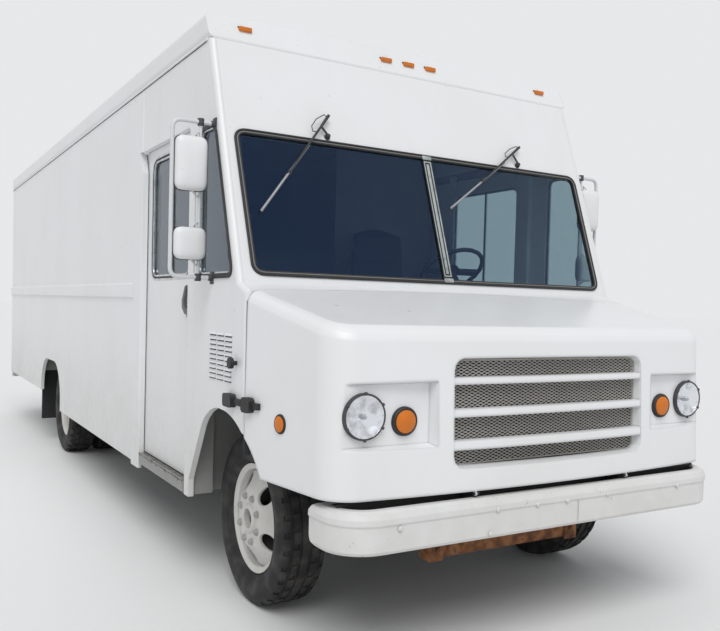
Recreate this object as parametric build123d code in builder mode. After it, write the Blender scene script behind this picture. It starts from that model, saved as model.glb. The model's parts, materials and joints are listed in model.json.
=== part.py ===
"""Walk-in delivery van: a step van with sliding cab doors, a raked flat windshield,
a forward-tilting moulded hood and dual rear wheels.

Millimetres. +Z is up, the van faces -Y and its left (driver's) side is +X.
Z = 0 is the ground under the tyres, and the origin is at the middle of the overall length and width.
"""
from build123d import *
from math import atan2, cos, degrees, pi, radians, sin, tan
import os

os.makedirs("parts", exist_ok=True)

# Overall sizes and stations. A station is a distance behind the front axle.
wheelbase = 4520
front_overhang = 1110
body_rear_station = 7306
rear_step_depth = 110
body_width = 2368
roof_line_z = 2775
overall_length = front_overhang + body_rear_station + rear_step_depth
front_axle_y = front_overhang - overall_length / 2
half_width = body_width / 2


def station(distance):
    """Y place of a distance behind the front axle."""
    return front_axle_y + distance


front_y = station(-front_overhang)
rear_axle_y = station(wheelbase)
body_rear_y = station(body_rear_station)

# Body shell
wall = 30
inner_half_width = half_width - wall
skirt_z = 448
rear_skirt_z = 538
post_seam_y = station(1526)
roof_height = 165
roof_crown = 22
roof_edge_radius = 34
roof_lip = 5
cap_lean = 85
cap_lip = 12
cap_slope = cap_lean / (roof_height - cap_lip)

# Cab front: the raked plane runs from the roof line down to the cowl
rake_top_y = station(200)
cowl_top_y = station(-235)
cowl_top_z = 1570
cowl_front_y = station(-340)
cowl_front_z = 1530
rake_slope = (rake_top_y - cowl_top_y) / (roof_line_z - cowl_top_z)
rake_angle = degrees(atan2(rake_top_y - cowl_top_y, roof_line_z - cowl_top_z))
corner_radius = 24
firewall_thickness = 20

# Windshield opening in the raked plane
glass_bottom_z = 1602
glass_top_z = 2312
glass_bottom_half = 1108
glass_top_half = 1120
glass_corner_radius = 55
glass_thickness = 6
seal_width = 24
seal_stand = 5
divider_width = 50

# Front wheel arch
arch_bottom_y = station(398)
arch_corner_z = 548
arch_shoulder_y = station(213)
arch_shoulder_z = 858
arch_centre_y = station(-60)
arch_centre_z = 470
arch_radius = 500
cab_skirt_z = 455

# Rear wheel arch
rear_arch_front_y = rear_axle_y - 487
rear_arch_rear_y = rear_axle_y + 548
rear_arch_top_z = 874
rear_arch_radius = 330

# Doorway and sliding door
door_jamb_y = station(470)
door_post_y = station(1360)
door_head_z = 2380
step_top_z = 520
door_gap = 6
door_thickness = 34
door_lap_front = 32
door_lap_rear = 60
door_lap_top = 40
door_lift = 12
door_travel = 690
door_outer_x = inner_half_width - door_gap
door_inner_x = door_outer_x - door_thickness
door_front_y = door_jamb_y - door_lap_front
door_rear_y = door_post_y + door_lap_rear
door_bottom_z = step_top_z + door_lift
door_top_z = door_head_z + door_lap_top

# Rub rail and corner post
rail_low_z = 1482
rail_high_z = 1581
rail_stand = 14
post_stand = 8
post_bottom_z = 428

# Running gear
tyre_radius = 417
tyre_width = 244
rim_radius = 267
bead_radius = 250
rim_width = 172
front_wheel_x = 895
rear_outer_x = 952
dual_spacing = 279
rear_inner_x = rear_outer_x - dual_spacing
kingpin_x = 790
kingpin_radius = 16
spindle_radius = 26
halfshaft_radius = 30
running_clearance = 0.08
seat_gap = 0.3
wheel_flats = 28
hub_bore = 48
hand_hole_radius = 44
hand_hole_circle = 186
hand_hole_count = 5
hand_hole_sides = 12

# Chassis frame
rail_outer_x = 432
rail_flange = 77
rail_gauge = 10
frame_bottom_z = 500
frame_top_z = 730
frame_front_y = station(-970)
frame_rear_y = station(7250)
floor_thickness = 60
floor_z = frame_top_z + floor_thickness

# Front bumper
bumper_top_z = 694
bumper_height = 168
bumper_gauge = 10
bumper_flange = 60
bumper_roll = 30
bumper_crease = 5
horn_half = 46
bumper_half = 1100
bumper_corner_radius = 180
bumper_wrap = 280
bumper_end_radius = 45

# Hood
hood_gap = 6
hood_rear_y = cowl_front_y - hood_gap
hood_bottom_z = 722
hood_rear_z = 1526
hood_wall = 12
hood_pitch = 12.8
hood_front_y = station(-1015)
hood_bow = 66
hood_front_half = 1092
hood_corner_radius = 150
hood_edge_radius = 62
hood_lean = 40
hood_crown = 26
hood_draw = 120
hood_section_top_z = 1640
hinge_y = station(-1068)
hinge_z = 711
hinge_x = 444
hinge_eye = 6
hinge_pin = 4
lug_radius = 8
lug_gauge = 8

# Hood openings and lamps
grille_half = 562
grille_z = (812, 1280)
grille_corner_radius = 40
grille_draft = 8
grille_rim = 8
grille_depth = 55
bar_rows = [(894, 932), (1029, 1062), (1163, 1192)]
mesh_gauge = 4
lamp_plane_y = station(-990)
pocket_inner_x = 640
pocket_low_z = 924
pocket_high_z = 1172
pocket_reach = 660
pocket_draft = 10
headlamp_x = 953
headlamp_z = 1046
headlamp_radius = 93
turn_lamp_x = 763
turn_lamp_z = 1019
turn_lamp_radius = 60
side_marker_y = station(-640)
side_marker_z = 978

# Mirrors
mirror_x = 1392
mirror_y = station(99)
mirror_top_z = 2330
mirror_bottom_z = 1590
mirror_bend = 34
mirror_tube = 10

sides = [("right", -1), ("left", 1)]


def block(x, y, z, mode=Mode.ADD):
    """Box between two corners, each given as a (low, high) pair."""
    with Locations(((x[0] + x[1]) / 2, (y[0] + y[1]) / 2, (z[0] + z[1]) / 2)):
        Box(abs(x[1] - x[0]), abs(y[1] - y[0]), abs(z[1] - z[0]), mode=mode)


def side_prism(points, x_from, x_to, mode=Mode.ADD):
    """Side-view outline of (y, z) points, extruded between two x places."""
    low, high = min(x_from, x_to), max(x_from, x_to)
    with BuildSketch(Plane.YZ.offset(low)) as outline:
        with BuildLine():
            Polyline(*points, close=True)
        make_face()
    extrude(outline.sketch, amount=high - low, mode=mode)


def round_block(x, y, z, radius, axis, mode=Mode.ADD):
    """Box between two corners whose edges along one axis are rounded."""
    planes = {Axis.X: Plane.YZ, Axis.Y: Plane.XZ, Axis.Z: Plane.XY}
    centre = Vector((x[0] + x[1]) / 2, (y[0] + y[1]) / 2, (z[0] + z[1]) / 2)
    size = Vector(abs(x[1] - x[0]), abs(y[1] - y[0]), abs(z[1] - z[0]))
    spans = {Axis.X: (size.Y, size.Z, size.X), Axis.Y: (size.X, size.Z, size.Y),
             Axis.Z: (size.X, size.Y, size.Z)}
    wide, tall, deep = spans[axis]
    plane = planes[axis]
    with BuildSketch(Plane(centre, x_dir=plane.x_dir, z_dir=plane.z_dir)) as outline:
        RectangleRounded(wide, tall, radius)
    extrude(outline.sketch, amount=deep / 2, both=True, mode=mode)


def disc_x(x_from, x_to, y, z, radius, mode=Mode.ADD):
    """Cylinder along X between two x places."""
    with Locations(Location(((x_from + x_to) / 2, y, z), (0, 90, 0))):
        Cylinder(radius, abs(x_to - x_from), mode=mode)


def prism(middle, facing, radius, side_count, length):
    """Regular prism of side_count flats from a point along the direction it faces."""
    with BuildSketch(Plane(middle, z_dir=facing)) as outline:
        RegularPolygon(radius, side_count)
    extrude(outline.sketch, amount=length)


def soft_rectangle(width, height, corner):
    """Rectangle whose corners are eased by three flats in place of a rounding."""
    points = []
    for quarter in range(4):
        middle_x = (1, -1, -1, 1)[quarter] * (width / 2 - corner)
        middle_y = (1, 1, -1, -1)[quarter] * (height / 2 - corner)
        for step in range(4):
            turn = radians(90 * quarter + 30 * step)
            points.append((middle_x + corner * cos(turn), middle_y + corner * sin(turn)))
    Polygon(*points)


def turned(profile, y, z, mode=Mode.ADD):
    """Ring turned about the X axis through (y, z) from a closed list of (x, radius) points."""
    with BuildSketch(Plane((0, y, z), x_dir=(1, 0, 0), z_dir=(0, -1, 0))) as section:
        with BuildLine():
            Polyline(*profile, close=True)
        make_face()
    revolve(section.sketch, axis=Axis((0, y, z), (1, 0, 0)), mode=mode)


def ring(profile, middle_x, side, axle_y, facing=1):
    """Ring of flats round an axle, from (x outward from the wheel's middle plane, radius) points."""
    reach = max(radius for x, radius in profile)
    step = radians(360 / wheel_flats)
    corner = reach / cos(step / 2)
    corners = [(corner * cos(step * (count + 0.5)), corner * sin(step * (count + 0.5)))
               for count in range(wheel_flats)]
    middle = (side * middle_x, axle_y, tyre_radius)
    with BuildLine(Plane(middle, x_dir=(0, 1, 0), z_dir=(1, 0, 0))) as path:
        Polyline((reach, 0), *corners, close=True)
    with BuildSketch(Plane(middle, x_dir=(side * facing, 0, 0), z_dir=(0, 0, side * facing))) as section:
        with BuildLine():
            Polyline(*profile, close=True)
        make_face()
    sweep(section.sketch, path=path.line, transition=Transition.RIGHT)


def hand_holes(x_from, x_to, axle_y, first_angle):
    """Round holes through a wheel's disc, cut between two x places."""
    low, high = min(x_from, x_to), max(x_from, x_to)
    with BuildSketch(Plane((low, axle_y, tyre_radius), x_dir=(0, 1, 0), z_dir=(1, 0, 0))) as holes:
        with PolarLocations(hand_hole_circle, hand_hole_count, start_angle=first_angle):
            RegularPolygon(hand_hole_radius, hand_hole_sides)
    extrude(holes.sketch, amount=high - low, mode=Mode.SUBTRACT)


def save(builder, label):
    """Name the finished piece and write it out."""
    builder.part.label = label
    export_step(builder.part, f"parts/{label}.step")


# Raked cab front plane: local x is the van's X, local y runs up the slope, and it faces forward
rake_plane = Plane((0, cowl_top_y, cowl_top_z), x_dir=(1, 0, 0),
                   z_dir=(0, -cos(radians(rake_angle)), sin(radians(rake_angle))))


def up_slope(z):
    """Distance up the raked plane at a height."""
    return (z - cowl_top_z) / cos(radians(rake_angle))


def rake_y(z):
    """Y place of the raked plane at a height."""
    return cowl_top_y + (z - cowl_top_z) * rake_slope


def windshield_outline(inset):
    """Windshield opening, made smaller all round by an inset."""
    low, high = up_slope(glass_bottom_z) + inset, up_slope(glass_top_z) - inset
    with BuildSketch(rake_plane) as outline:
        with BuildLine():
            Polyline((-glass_bottom_half + inset, low), (glass_bottom_half - inset, low),
                     (glass_top_half - inset, high), (-glass_top_half + inset, high), close=True)
        make_face()
        fillet(outline.vertices(), glass_corner_radius - inset)
    return outline.sketch


# Chassis frame: two channel rails with crossmembers between them
cross_stations = [-880, 480, 1750, 2950, 3850, 5250, 6250, 7180]
horn_z = (bumper_top_z - bumper_height / 2 - horn_half, bumper_top_z - bumper_height / 2 + horn_half)
with BuildPart() as chassis_frame:
    for name, side in sides:
        rail_x = (side * (rail_outer_x - rail_flange), side * rail_outer_x)
        block(rail_x, (frame_front_y, frame_rear_y), (frame_bottom_z, frame_top_z))
        block((side * (rail_outer_x - rail_flange), side * (rail_outer_x - rail_gauge)),
              (frame_front_y, frame_rear_y),
              (frame_bottom_z + rail_gauge, frame_top_z - rail_gauge), mode=Mode.SUBTRACT)
        horn_x = (side * (rail_outer_x - 60), side * rail_outer_x)
        block(horn_x, (front_y + bumper_crease + bumper_gauge, frame_front_y), horn_z)
        hinge_plate = (side * rail_outer_x, side * (rail_outer_x + lug_gauge))
        block(hinge_plate, (hinge_y + 30, frame_front_y + 10), (horn_z[0], hinge_z + hinge_eye))
        block(hinge_plate, (hinge_y, hinge_y + 30), (hinge_z - hinge_eye, hinge_z + hinge_eye))
        disc_x(*hinge_plate, hinge_y, hinge_z, hinge_eye)
        disc_x(side * rail_outer_x, side * (hinge_x + lug_gauge + 4), hinge_y, hinge_z, hinge_pin)
    for place in cross_stations:
        block((-rail_outer_x + rail_gauge, rail_outer_x - rail_gauge),
              (station(place) - 30, station(place) + 30),
              (frame_bottom_z + 30, frame_bottom_z + 110))
save(chassis_frame, "chassis_frame")

# Rusty crossmember under the rail ends, on two drop brackets
with BuildPart() as front_crossmember:
    block((-rail_outer_x - 20, rail_outer_x + 20), (station(-745), station(-675)), (345, 425))
    for name, side in sides:
        block((side * (rail_outer_x - 70), side * (rail_outer_x + 20)), (station(-775), station(-645)),
              (425, frame_bottom_z))
save(front_crossmember, "front_crossmember")

# Front bumper: a pressed channel with a rolled top edge, swept round the front's corners
bumper_low_z = bumper_top_z - bumper_height
bumper_section = [
    # depth behind the face, height
    (bumper_flange, bumper_height), (bumper_roll, bumper_height),
    (0.3 * bumper_roll, bumper_height - 0.3 * bumper_roll), (0, bumper_height - bumper_roll),
    (0, bumper_height - 52), (bumper_crease, bumper_height - 60), (bumper_crease, 12), (bumper_crease + 8, 0),
    (bumper_flange, 0), (bumper_flange, bumper_gauge), (bumper_crease + bumper_gauge, bumper_gauge),
    (bumper_crease + bumper_gauge, bumper_height - bumper_roll - 4),
    (bumper_roll + 3, bumper_height - bumper_gauge), (bumper_flange, bumper_height - bumper_gauge)]
with BuildPart() as front_bumper:
    with BuildLine(Plane.XY.offset(bumper_low_z)) as plan_line:
        FilletPolyline((bumper_half, front_y + bumper_wrap), (bumper_half, front_y), (-bumper_half, front_y),
                       (-bumper_half, front_y + bumper_wrap), radius=bumper_corner_radius)
    with BuildSketch(Plane((bumper_half, front_y + bumper_wrap, bumper_low_z), x_dir=(-1, 0, 0),
                           z_dir=(0, 1, 0))) as channel:
        with BuildLine():
            Polyline(*bumper_section, close=True)
        make_face()
    sweep(channel.sketch, path=plan_line.line)
    with BuildSketch(Plane.YZ.offset(-bumper_half - 1)) as side_outline:
        with Locations((front_y + bumper_wrap / 2, bumper_low_z + bumper_height / 2)):
            Rectangle(bumper_wrap, bumper_height)
        fillet(side_outline.vertices().group_by(Axis.X)[-1], bumper_end_radius)
    extrude(side_outline.sketch, amount=2 * bumper_half + 2, mode=Mode.INTERSECT)
save(front_bumper, "front_bumper")

# Rear step bumper under the rear doors
with BuildPart() as rear_bumper:
    round_block((-half_width + 20, half_width - 20), (body_rear_y, body_rear_y + rear_step_depth),
                (470, 530), 12, Axis.X)
    for name, side in sides:
        block((side * (rail_outer_x - 70), side * rail_outer_x), (frame_rear_y, body_rear_y + 20),
              (frame_bottom_z, rear_skirt_z - 2))
save(rear_bumper, "rear_bumper")

# Engine as one plain block
with BuildPart() as engine_block:
    round_block((-280, 280), (station(-700), station(240)), (frame_bottom_z - 30, 1000), 60, Axis.Y)
    block((-rail_outer_x + rail_gauge, rail_outer_x - rail_gauge), (station(-300), station(-210)), (570, 640))
save(engine_block, "engine_block")

# Front axle beam with its kingpin bosses and springs' pads
beam_z = (370, 434)
with BuildPart() as front_axle:
    block((-680, 680), (station(-38), station(38)), (beam_z[0], beam_z[1] - 10))
    block((-690, 690), (station(-12), station(12)), beam_z)
    for name, side in sides:
        block((side * 670, side * kingpin_x), (station(-30), station(30)), (beam_z[0] + 4, beam_z[1] - 4))
        with Locations((side * kingpin_x, station(0), (beam_z[0] + beam_z[1]) / 2)):
            Cylinder(38, beam_z[1] - beam_z[0] - 8)
    for name, side in sides:
        with Locations((side * kingpin_x, station(0), (beam_z[0] + beam_z[1]) / 2)):
            Cylinder(kingpin_radius + running_clearance, 200, mode=Mode.SUBTRACT)
save(front_axle, "front_axle")

# Steering knuckles: yoke, kingpin, backing plate and spindle
backing_radius = 178
for name, side in sides:
    with BuildPart() as knuckle:
        for low, high in [(beam_z[0] - 30, beam_z[0] - 2), (beam_z[1] + 2, beam_z[1] + 30)]:
            block((side * (kingpin_x - 34), side * 846), (station(-34), station(34)), (low, high))
        block((side * 832, side * 846), (station(-60), station(60)), (beam_z[0] - 30, beam_z[1] + 30))
        with BuildSketch(Plane((side * 838, station(0), tyre_radius), x_dir=(0, 1, 0),
                               z_dir=(side, 0, 0))) as backing_plate:
            RegularPolygon(backing_radius, wheel_flats)
        extrude(backing_plate.sketch, amount=8)
        disc_x(side * 840, side * 962, station(0), tyre_radius, spindle_radius)
        with Locations((side * kingpin_x, station(0), (beam_z[0] + beam_z[1]) / 2)):
            Cylinder(kingpin_radius, beam_z[1] - beam_z[0] + 50)
    save(knuckle, f"knuckle_{name}")

# Wheel sections are lists of (x outward from the wheel's middle plane, radius)
flange_out = rim_width / 2
flange_gauge = 10
disc_gauge = 12
barrel_inner = bead_radius - flange_gauge
hub_radius = 74
ring_face = 112
ring_radius = 134
front_section = [(flange_out, rim_radius), (flange_out - 23, bead_radius), (23 - flange_out, bead_radius),
                 (-flange_out, rim_radius), (flange_gauge - flange_out, barrel_inner), (30, barrel_inner),
                 (ring_face - disc_gauge, ring_radius - 4), (ring_face - disc_gauge, hub_radius - 2),
                 (ring_face, hub_radius - 2), (ring_face, ring_radius), (44, barrel_inner),
                 (flange_out - flange_gauge, barrel_inner)]
hub_seat = spindle_radius + running_clearance
front_hub = [(-30, hub_seat), (-30, hub_radius), (ring_face, hub_radius), (ring_face + 9, hub_radius - 12),
             (ring_face + 9, hub_bore), (72, hub_bore), (72, hub_seat)]
drum_radius = 186
front_drum = [(-44, drum_radius), (-44, hub_radius - 2), (16, hub_radius - 2), (16, drum_radius)]
bead_seat = 0.3
tyre_section = [(flange_out - 23, bead_radius + bead_seat), (flange_out - 11, rim_radius + bead_seat),
                (tyre_width / 2, 345), (98, tyre_radius), (-98, tyre_radius), (-tyre_width / 2, 345),
                (11 - flange_out, rim_radius + bead_seat), (23 - flange_out, bead_radius + bead_seat)]


def placed(profile, middle_x, side):
    """Profile moved to a wheel's middle plane, facing outward."""
    return [(side * (middle_x + x), radius) for x, radius in profile]


for name, side in sides:
    with BuildPart() as front_rim:
        ring(front_section, front_wheel_x, side, station(0))
        ring(front_drum, front_wheel_x, side, station(0))
        hand_holes(side * (front_wheel_x + 24), side * (front_wheel_x + ring_face + 1), station(0), 46)
        turned(placed(front_hub, front_wheel_x, side), station(0), tyre_radius)
    save(front_rim, f"front_rim_{name}")
    with BuildPart() as front_tyre:
        ring(tyre_section, front_wheel_x, side, station(0))
    save(front_tyre, f"front_tyre_{name}")

# Rear duals: two dished wheels back to back on one hub
dual_half = dual_spacing / 2
rear_hub_radius = 104
rear_section = [(flange_out, rim_radius), (flange_out - 23, bead_radius), (23 - flange_out, bead_radius),
                (-flange_out, rim_radius), (flange_gauge - flange_out, barrel_inner), (-60, barrel_inner),
                (-dual_half, 158), (-dual_half, rear_hub_radius - 2),
                (disc_gauge - dual_half, rear_hub_radius - 2),
                (disc_gauge - dual_half, 152), (-42, barrel_inner), (flange_out - flange_gauge, barrel_inner)]
shaft_seat = halfshaft_radius + running_clearance
rear_hub = [(-196, shaft_seat), (-196, rear_hub_radius), (-116, rear_hub_radius), (-116, 62), (30, 62),
            (30, 0), (-60, 0), (-60, shaft_seat)]
rear_drum = [(-240, 192), (-240, rear_hub_radius - 2), (-176, rear_hub_radius - 2), (-176, 192)]
for name, side in sides:
    with BuildPart() as rear_rims:
        ring(rear_section, rear_outer_x, side, rear_axle_y)
        ring(rear_section, rear_inner_x, side, rear_axle_y, -1)
        hand_holes(side * (rear_inner_x + 40), side * (rear_outer_x - 40), rear_axle_y, 20)
        ring(rear_drum, rear_outer_x, side, rear_axle_y)
        turned(placed(rear_hub, rear_outer_x, side), rear_axle_y, tyre_radius)
    save(rear_rims, f"rear_rims_{name}")
    with BuildPart() as rear_tyres:
        ring(tyre_section, rear_outer_x, side, rear_axle_y)
        ring(tyre_section, rear_inner_x, side, rear_axle_y)
    save(rear_tyres, f"rear_tyres_{name}")

# Rear axle housing, with its differential and driveshaft
axle_tube_radius = 58
with BuildPart() as rear_axle:
    disc_x(-rear_outer_x + 215, rear_outer_x - 215, rear_axle_y, tyre_radius, axle_tube_radius)
    disc_x(-rear_outer_x + 66, rear_outer_x - 66, rear_axle_y, tyre_radius, halfshaft_radius)
    prism((0, rear_axle_y + 90, tyre_radius), (0, -1, 0), 150, 12, 170)
    prism((0, rear_axle_y - 80, tyre_radius), (0, -1, 0), 110, 12, 170)
    prism((0, rear_axle_y - 230, tyre_radius + 70), (0, -1, 0), 38, 12, rear_axle_y - 230 - station(240))
save(rear_axle, "rear_axle")

# Leaf springs, outboard of the rails, hung from brackets on the webs
spring_rows = [
    # axle y, half length, low z, thickness
    (station(0), 560, beam_z[1] + seat_gap, 36),
    (rear_axle_y, 640, tyre_radius + axle_tube_radius + seat_gap, 62),
]
spring_rise = 66
with BuildPart() as leaf_springs:
    for axle_y, half_span, low_z, thickness in spring_rows:
        for name, side in sides:
            spring_x = (side * (rail_outer_x + 12), side * (rail_outer_x + 76))
            low, high = min(spring_x), max(spring_x)
            with BuildSketch(Plane.YZ.offset(low)) as leaf:
                with BuildLine():
                    bottom = ThreePointArc((axle_y - half_span, low_z + spring_rise), (axle_y, low_z),
                                           (axle_y + half_span, low_z + spring_rise))
                    top = ThreePointArc((axle_y + half_span, low_z + spring_rise + 14),
                                        (axle_y, low_z + thickness),
                                        (axle_y - half_span, low_z + spring_rise + 14))
                    Line(bottom @ 1, top @ 0)
                    Line(top @ 1, bottom @ 0)
                make_face()
            extrude(leaf.sketch, amount=high - low)
            for end in (-1, 1):
                bracket_y = axle_y + end * half_span
                block((side * rail_outer_x, side * (rail_outer_x + 76)), (bracket_y - 30, bracket_y + 30),
                      (low_z + spring_rise - 8, frame_top_z - 70))
save(leaf_springs, "leaf_springs")

# Fuel tank against the right rail
with BuildPart() as fuel_tank:
    round_block((-920, -rail_outer_x), (station(1960), station(2960)), (372, 660), 50, Axis.Y)
save(fuel_tank, "fuel_tank")

# Mud flaps behind the rear wheels
flap_y = rear_axle_y + 690
with BuildPart() as mud_flaps:
    for name, side in sides:
        block((side * 560, side * 1150), (flap_y, flap_y + 8), (222, rear_skirt_z + 180))
        block((side * rail_outer_x, side * 1150), (flap_y + 8, flap_y + 40),
              (rear_skirt_z + 100, rear_skirt_z + 140))
save(mud_flaps, "mud_flaps")

# Cab and load floor, with its step well and wheelhouse cut-outs
well_inner_x = 850
pocket_inner = door_inner_x - 16
liner_y = station(490)
arch_house_x = 530
house_gauge = 10
house_top_z = rear_arch_top_z + 26
with BuildPart() as floor:
    block((-inner_half_width, inner_half_width), (liner_y, body_rear_y - 40), (frame_top_z, floor_z))
    block((-505, 505), (station(300), liner_y), (frame_top_z, floor_z))
    for name, side in sides:
        block((side * well_inner_x, side * half_width), (liner_y, station(1400)),
              (frame_top_z - 1, floor_z + 1), mode=Mode.SUBTRACT)
        block((side * pocket_inner, side * half_width), (station(1399), door_rear_y + door_travel + 20),
              (frame_top_z - 1, floor_z + 1), mode=Mode.SUBTRACT)
        block((side * arch_house_x, side * inner_half_width), (rear_arch_front_y - house_gauge,
              rear_arch_rear_y + house_gauge), (frame_top_z, house_top_z))
        block((side * (arch_house_x + house_gauge), side * half_width), (rear_arch_front_y,
              rear_arch_rear_y), (frame_top_z - 1, house_top_z - house_gauge), mode=Mode.SUBTRACT)
save(floor, "floor")

# Load body sides with the wheel arch and the rub rail
for name, side in sides:
    with BuildPart() as cargo_side:
        side_prism([(post_seam_y, skirt_z), (rear_arch_front_y, skirt_z), (rear_arch_rear_y, rear_skirt_z),
                    (body_rear_y, rear_skirt_z), (body_rear_y, roof_line_z), (post_seam_y, roof_line_z)],
                   side * inner_half_width, side * half_width)
        with BuildSketch(Plane.YZ.offset(side * (half_width - wall / 2))) as arch:
            with BuildLine():
                Polyline((rear_arch_front_y, 0), (rear_arch_rear_y, 0),
                         (rear_arch_rear_y, rear_arch_top_z), (rear_arch_front_y, rear_arch_top_z),
                         close=True)
            make_face()
            fillet(arch.vertices().group_by(Axis.Z)[-1], rear_arch_radius)
        extrude(arch.sketch, amount=wall, both=True, mode=Mode.SUBTRACT)
        round_block((side * (half_width - rail_stand), side * (half_width + rail_stand)),
                    (post_seam_y, body_rear_y), (rail_low_z, rail_high_z), rail_stand - 1, Axis.Y)
        block((side * (half_width - wall), side * (inner_half_width - rail_stand)),
              (post_seam_y, body_rear_y), (rail_low_z, rail_high_z), mode=Mode.SUBTRACT)
    save(cargo_side, f"cargo_side_{name}")

# Roof: a crowned channel that caps the sides
roof_half = half_width + roof_lip


def roof_section(inset, plane):
    """Section across the roof, made smaller by an inset at its sides and top."""
    half, edge_z = roof_half - inset, roof_line_z + roof_height - roof_crown - inset
    with BuildSketch(plane) as outline:
        with BuildLine():
            Line((half, edge_z), (half, roof_line_z))
            Line((half, roof_line_z), (-half, roof_line_z))
            Line((-half, roof_line_z), (-half, edge_z))
            ThreePointArc((-half, edge_z), (0, edge_z + roof_crown), (half, edge_z))
        make_face()
        fillet(outline.vertices().group_by(Axis.Z)[-1], roof_edge_radius - inset)
    return outline.sketch


cap_seam_y = post_seam_y
with BuildPart() as roof:
    extrude(roof_section(0, Plane.XZ.offset(-body_rear_y)), amount=body_rear_y - cap_seam_y)
    extrude(roof_section(wall, Plane.XZ.offset(-body_rear_y + wall)),
            amount=body_rear_y - wall - cap_seam_y, mode=Mode.SUBTRACT)
save(roof, "roof")

# Moulded roof cap over the cab, with a leaning front face
cap_wall = wall
with BuildPart() as roof_front_cap:
    extrude(roof_section(0, Plane.XZ.offset(-cap_seam_y)), amount=cap_seam_y - rake_top_y)
    extrude(roof_section(cap_wall, Plane.XZ.offset(-cap_seam_y)),
            amount=cap_seam_y - rake_top_y - cap_lean - cap_wall, mode=Mode.SUBTRACT)
    side_prism([(rake_top_y, roof_line_z + cap_lip),
                (rake_top_y + 1.1 * cap_lean, roof_line_z + cap_lip + 1.1 * cap_lean / cap_slope),
                (rake_top_y - 50, roof_line_z + cap_lip + 1.1 * cap_lean / cap_slope),
                (rake_top_y - 50, roof_line_z + cap_lip)],
               -roof_half - 1, roof_half + 1, mode=Mode.SUBTRACT)
save(roof_front_cap, "roof_front_cap")

# Marker lamps on the cap's leaning face
marker_x = [-990, -150, 0, 150, 990]
marker_z = 2855
lean_angle = degrees(atan2(cap_lean, roof_height - cap_lip))
lean_y = rake_top_y + (marker_z - roof_line_z - cap_lip) * cap_slope
lean_plane = Plane((0, lean_y, marker_z), x_dir=(1, 0, 0),
                   z_dir=(0, -cos(radians(lean_angle)), sin(radians(lean_angle))))
with BuildPart() as roof_markers:
    with BuildSketch(lean_plane) as lamps:
        with Locations(*[(x, 0) for x in marker_x]):
            Rectangle(74, 30)
    extrude(lamps.sketch, amount=16, taper=20)
save(roof_markers, "roof_markers")

# Rear frame around the doors
rear_frame_depth = 40
door_open_half = 742
rear_sill_z = floor_z
rear_head_z = 2560
rear_hinge_x = door_open_half + 14
rear_hinge_stand = 12
rear_hinge_y = body_rear_y + rear_hinge_stand
rear_pin_radius = 5
rear_barrel_radius = 10
barrel_sides = 8
hinge_half = 50
hinge_rows = [1000, 1640, 2360]
with BuildPart() as rear_frame:
    block((-inner_half_width, inner_half_width), (body_rear_y - rear_frame_depth, body_rear_y),
          (rear_skirt_z, roof_line_z))
    block((-door_open_half, door_open_half), (body_rear_y - rear_frame_depth, body_rear_y),
          (rear_sill_z, rear_head_z), mode=Mode.SUBTRACT)
    for name, side in sides:
        for z in hinge_rows:
            with Locations((side * rear_hinge_x, rear_hinge_y, z)):
                Cylinder(rear_pin_radius, 2 * hinge_half - 10)
            prism((side * rear_hinge_x, rear_hinge_y, z - hinge_half), (0, 0, 1), rear_barrel_radius,
                  barrel_sides, hinge_half)
            block((side * rear_hinge_x, side * (rear_hinge_x + 44)), (body_rear_y, rear_hinge_y),
                  (z - hinge_half, z))
save(rear_frame, "rear_frame")

# Rear swing doors with a window each
rear_door_gap = 6
meeting_gap = 4
rear_door_thickness = 35
window_width = 440
window_low_z = 1700
window_high_z = 2140
for name, side in sides:
    door_x = (side * meeting_gap, side * (door_open_half - rear_door_gap))
    door_y = (body_rear_y - rear_door_thickness, body_rear_y)
    middle = (door_x[0] + door_x[1]) / 2
    with BuildPart() as rear_door:
        block(door_x, door_y, (rear_sill_z + rear_door_gap, rear_head_z - rear_door_gap))
        round_block((middle - window_width / 2, middle + window_width / 2), (door_y[0] - 1, door_y[1] + 1),
                    (window_low_z, window_high_z), 50, Axis.Y, mode=Mode.SUBTRACT)
        for z in hinge_rows:
            strap_z = (z + seat_gap, z + hinge_half)
            block((door_x[1] - side * 90, side * rear_hinge_x), (rear_hinge_y - 8, rear_hinge_y - 2), strap_z)
            block((door_x[1] - side * 90, door_x[1] - side * 8), (body_rear_y, rear_hinge_y - 2), strap_z)
            prism((side * rear_hinge_x, rear_hinge_y, strap_z[0]), (0, 0, 1), rear_barrel_radius,
                  barrel_sides, strap_z[1] - strap_z[0])
            with Locations((side * rear_hinge_x, rear_hinge_y, z + hinge_half / 2)):
                Cylinder(rear_pin_radius + running_clearance, hinge_half + 2, mode=Mode.SUBTRACT)
        latch_x = side * (meeting_gap + 60)
        block((latch_x - 11, latch_x + 11), (body_rear_y, body_rear_y + 34), (1300, 1330))
        block((latch_x - 11, latch_x + 11), (body_rear_y, body_rear_y + 34), (1440, 1470))
        block((latch_x - 11, latch_x + 11), (body_rear_y + 24, body_rear_y + 34), (1300, 1470))
    save(rear_door, f"rear_door_{name}")
    with BuildPart() as rear_glass:
        round_block((middle - window_width / 2 + 1, middle + window_width / 2 - 1),
                    (body_rear_y - 20, body_rear_y - 14), (window_low_z + 1, window_high_z - 1), 49, Axis.Y)
    save(rear_glass, f"rear_glass_{name}")

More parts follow.
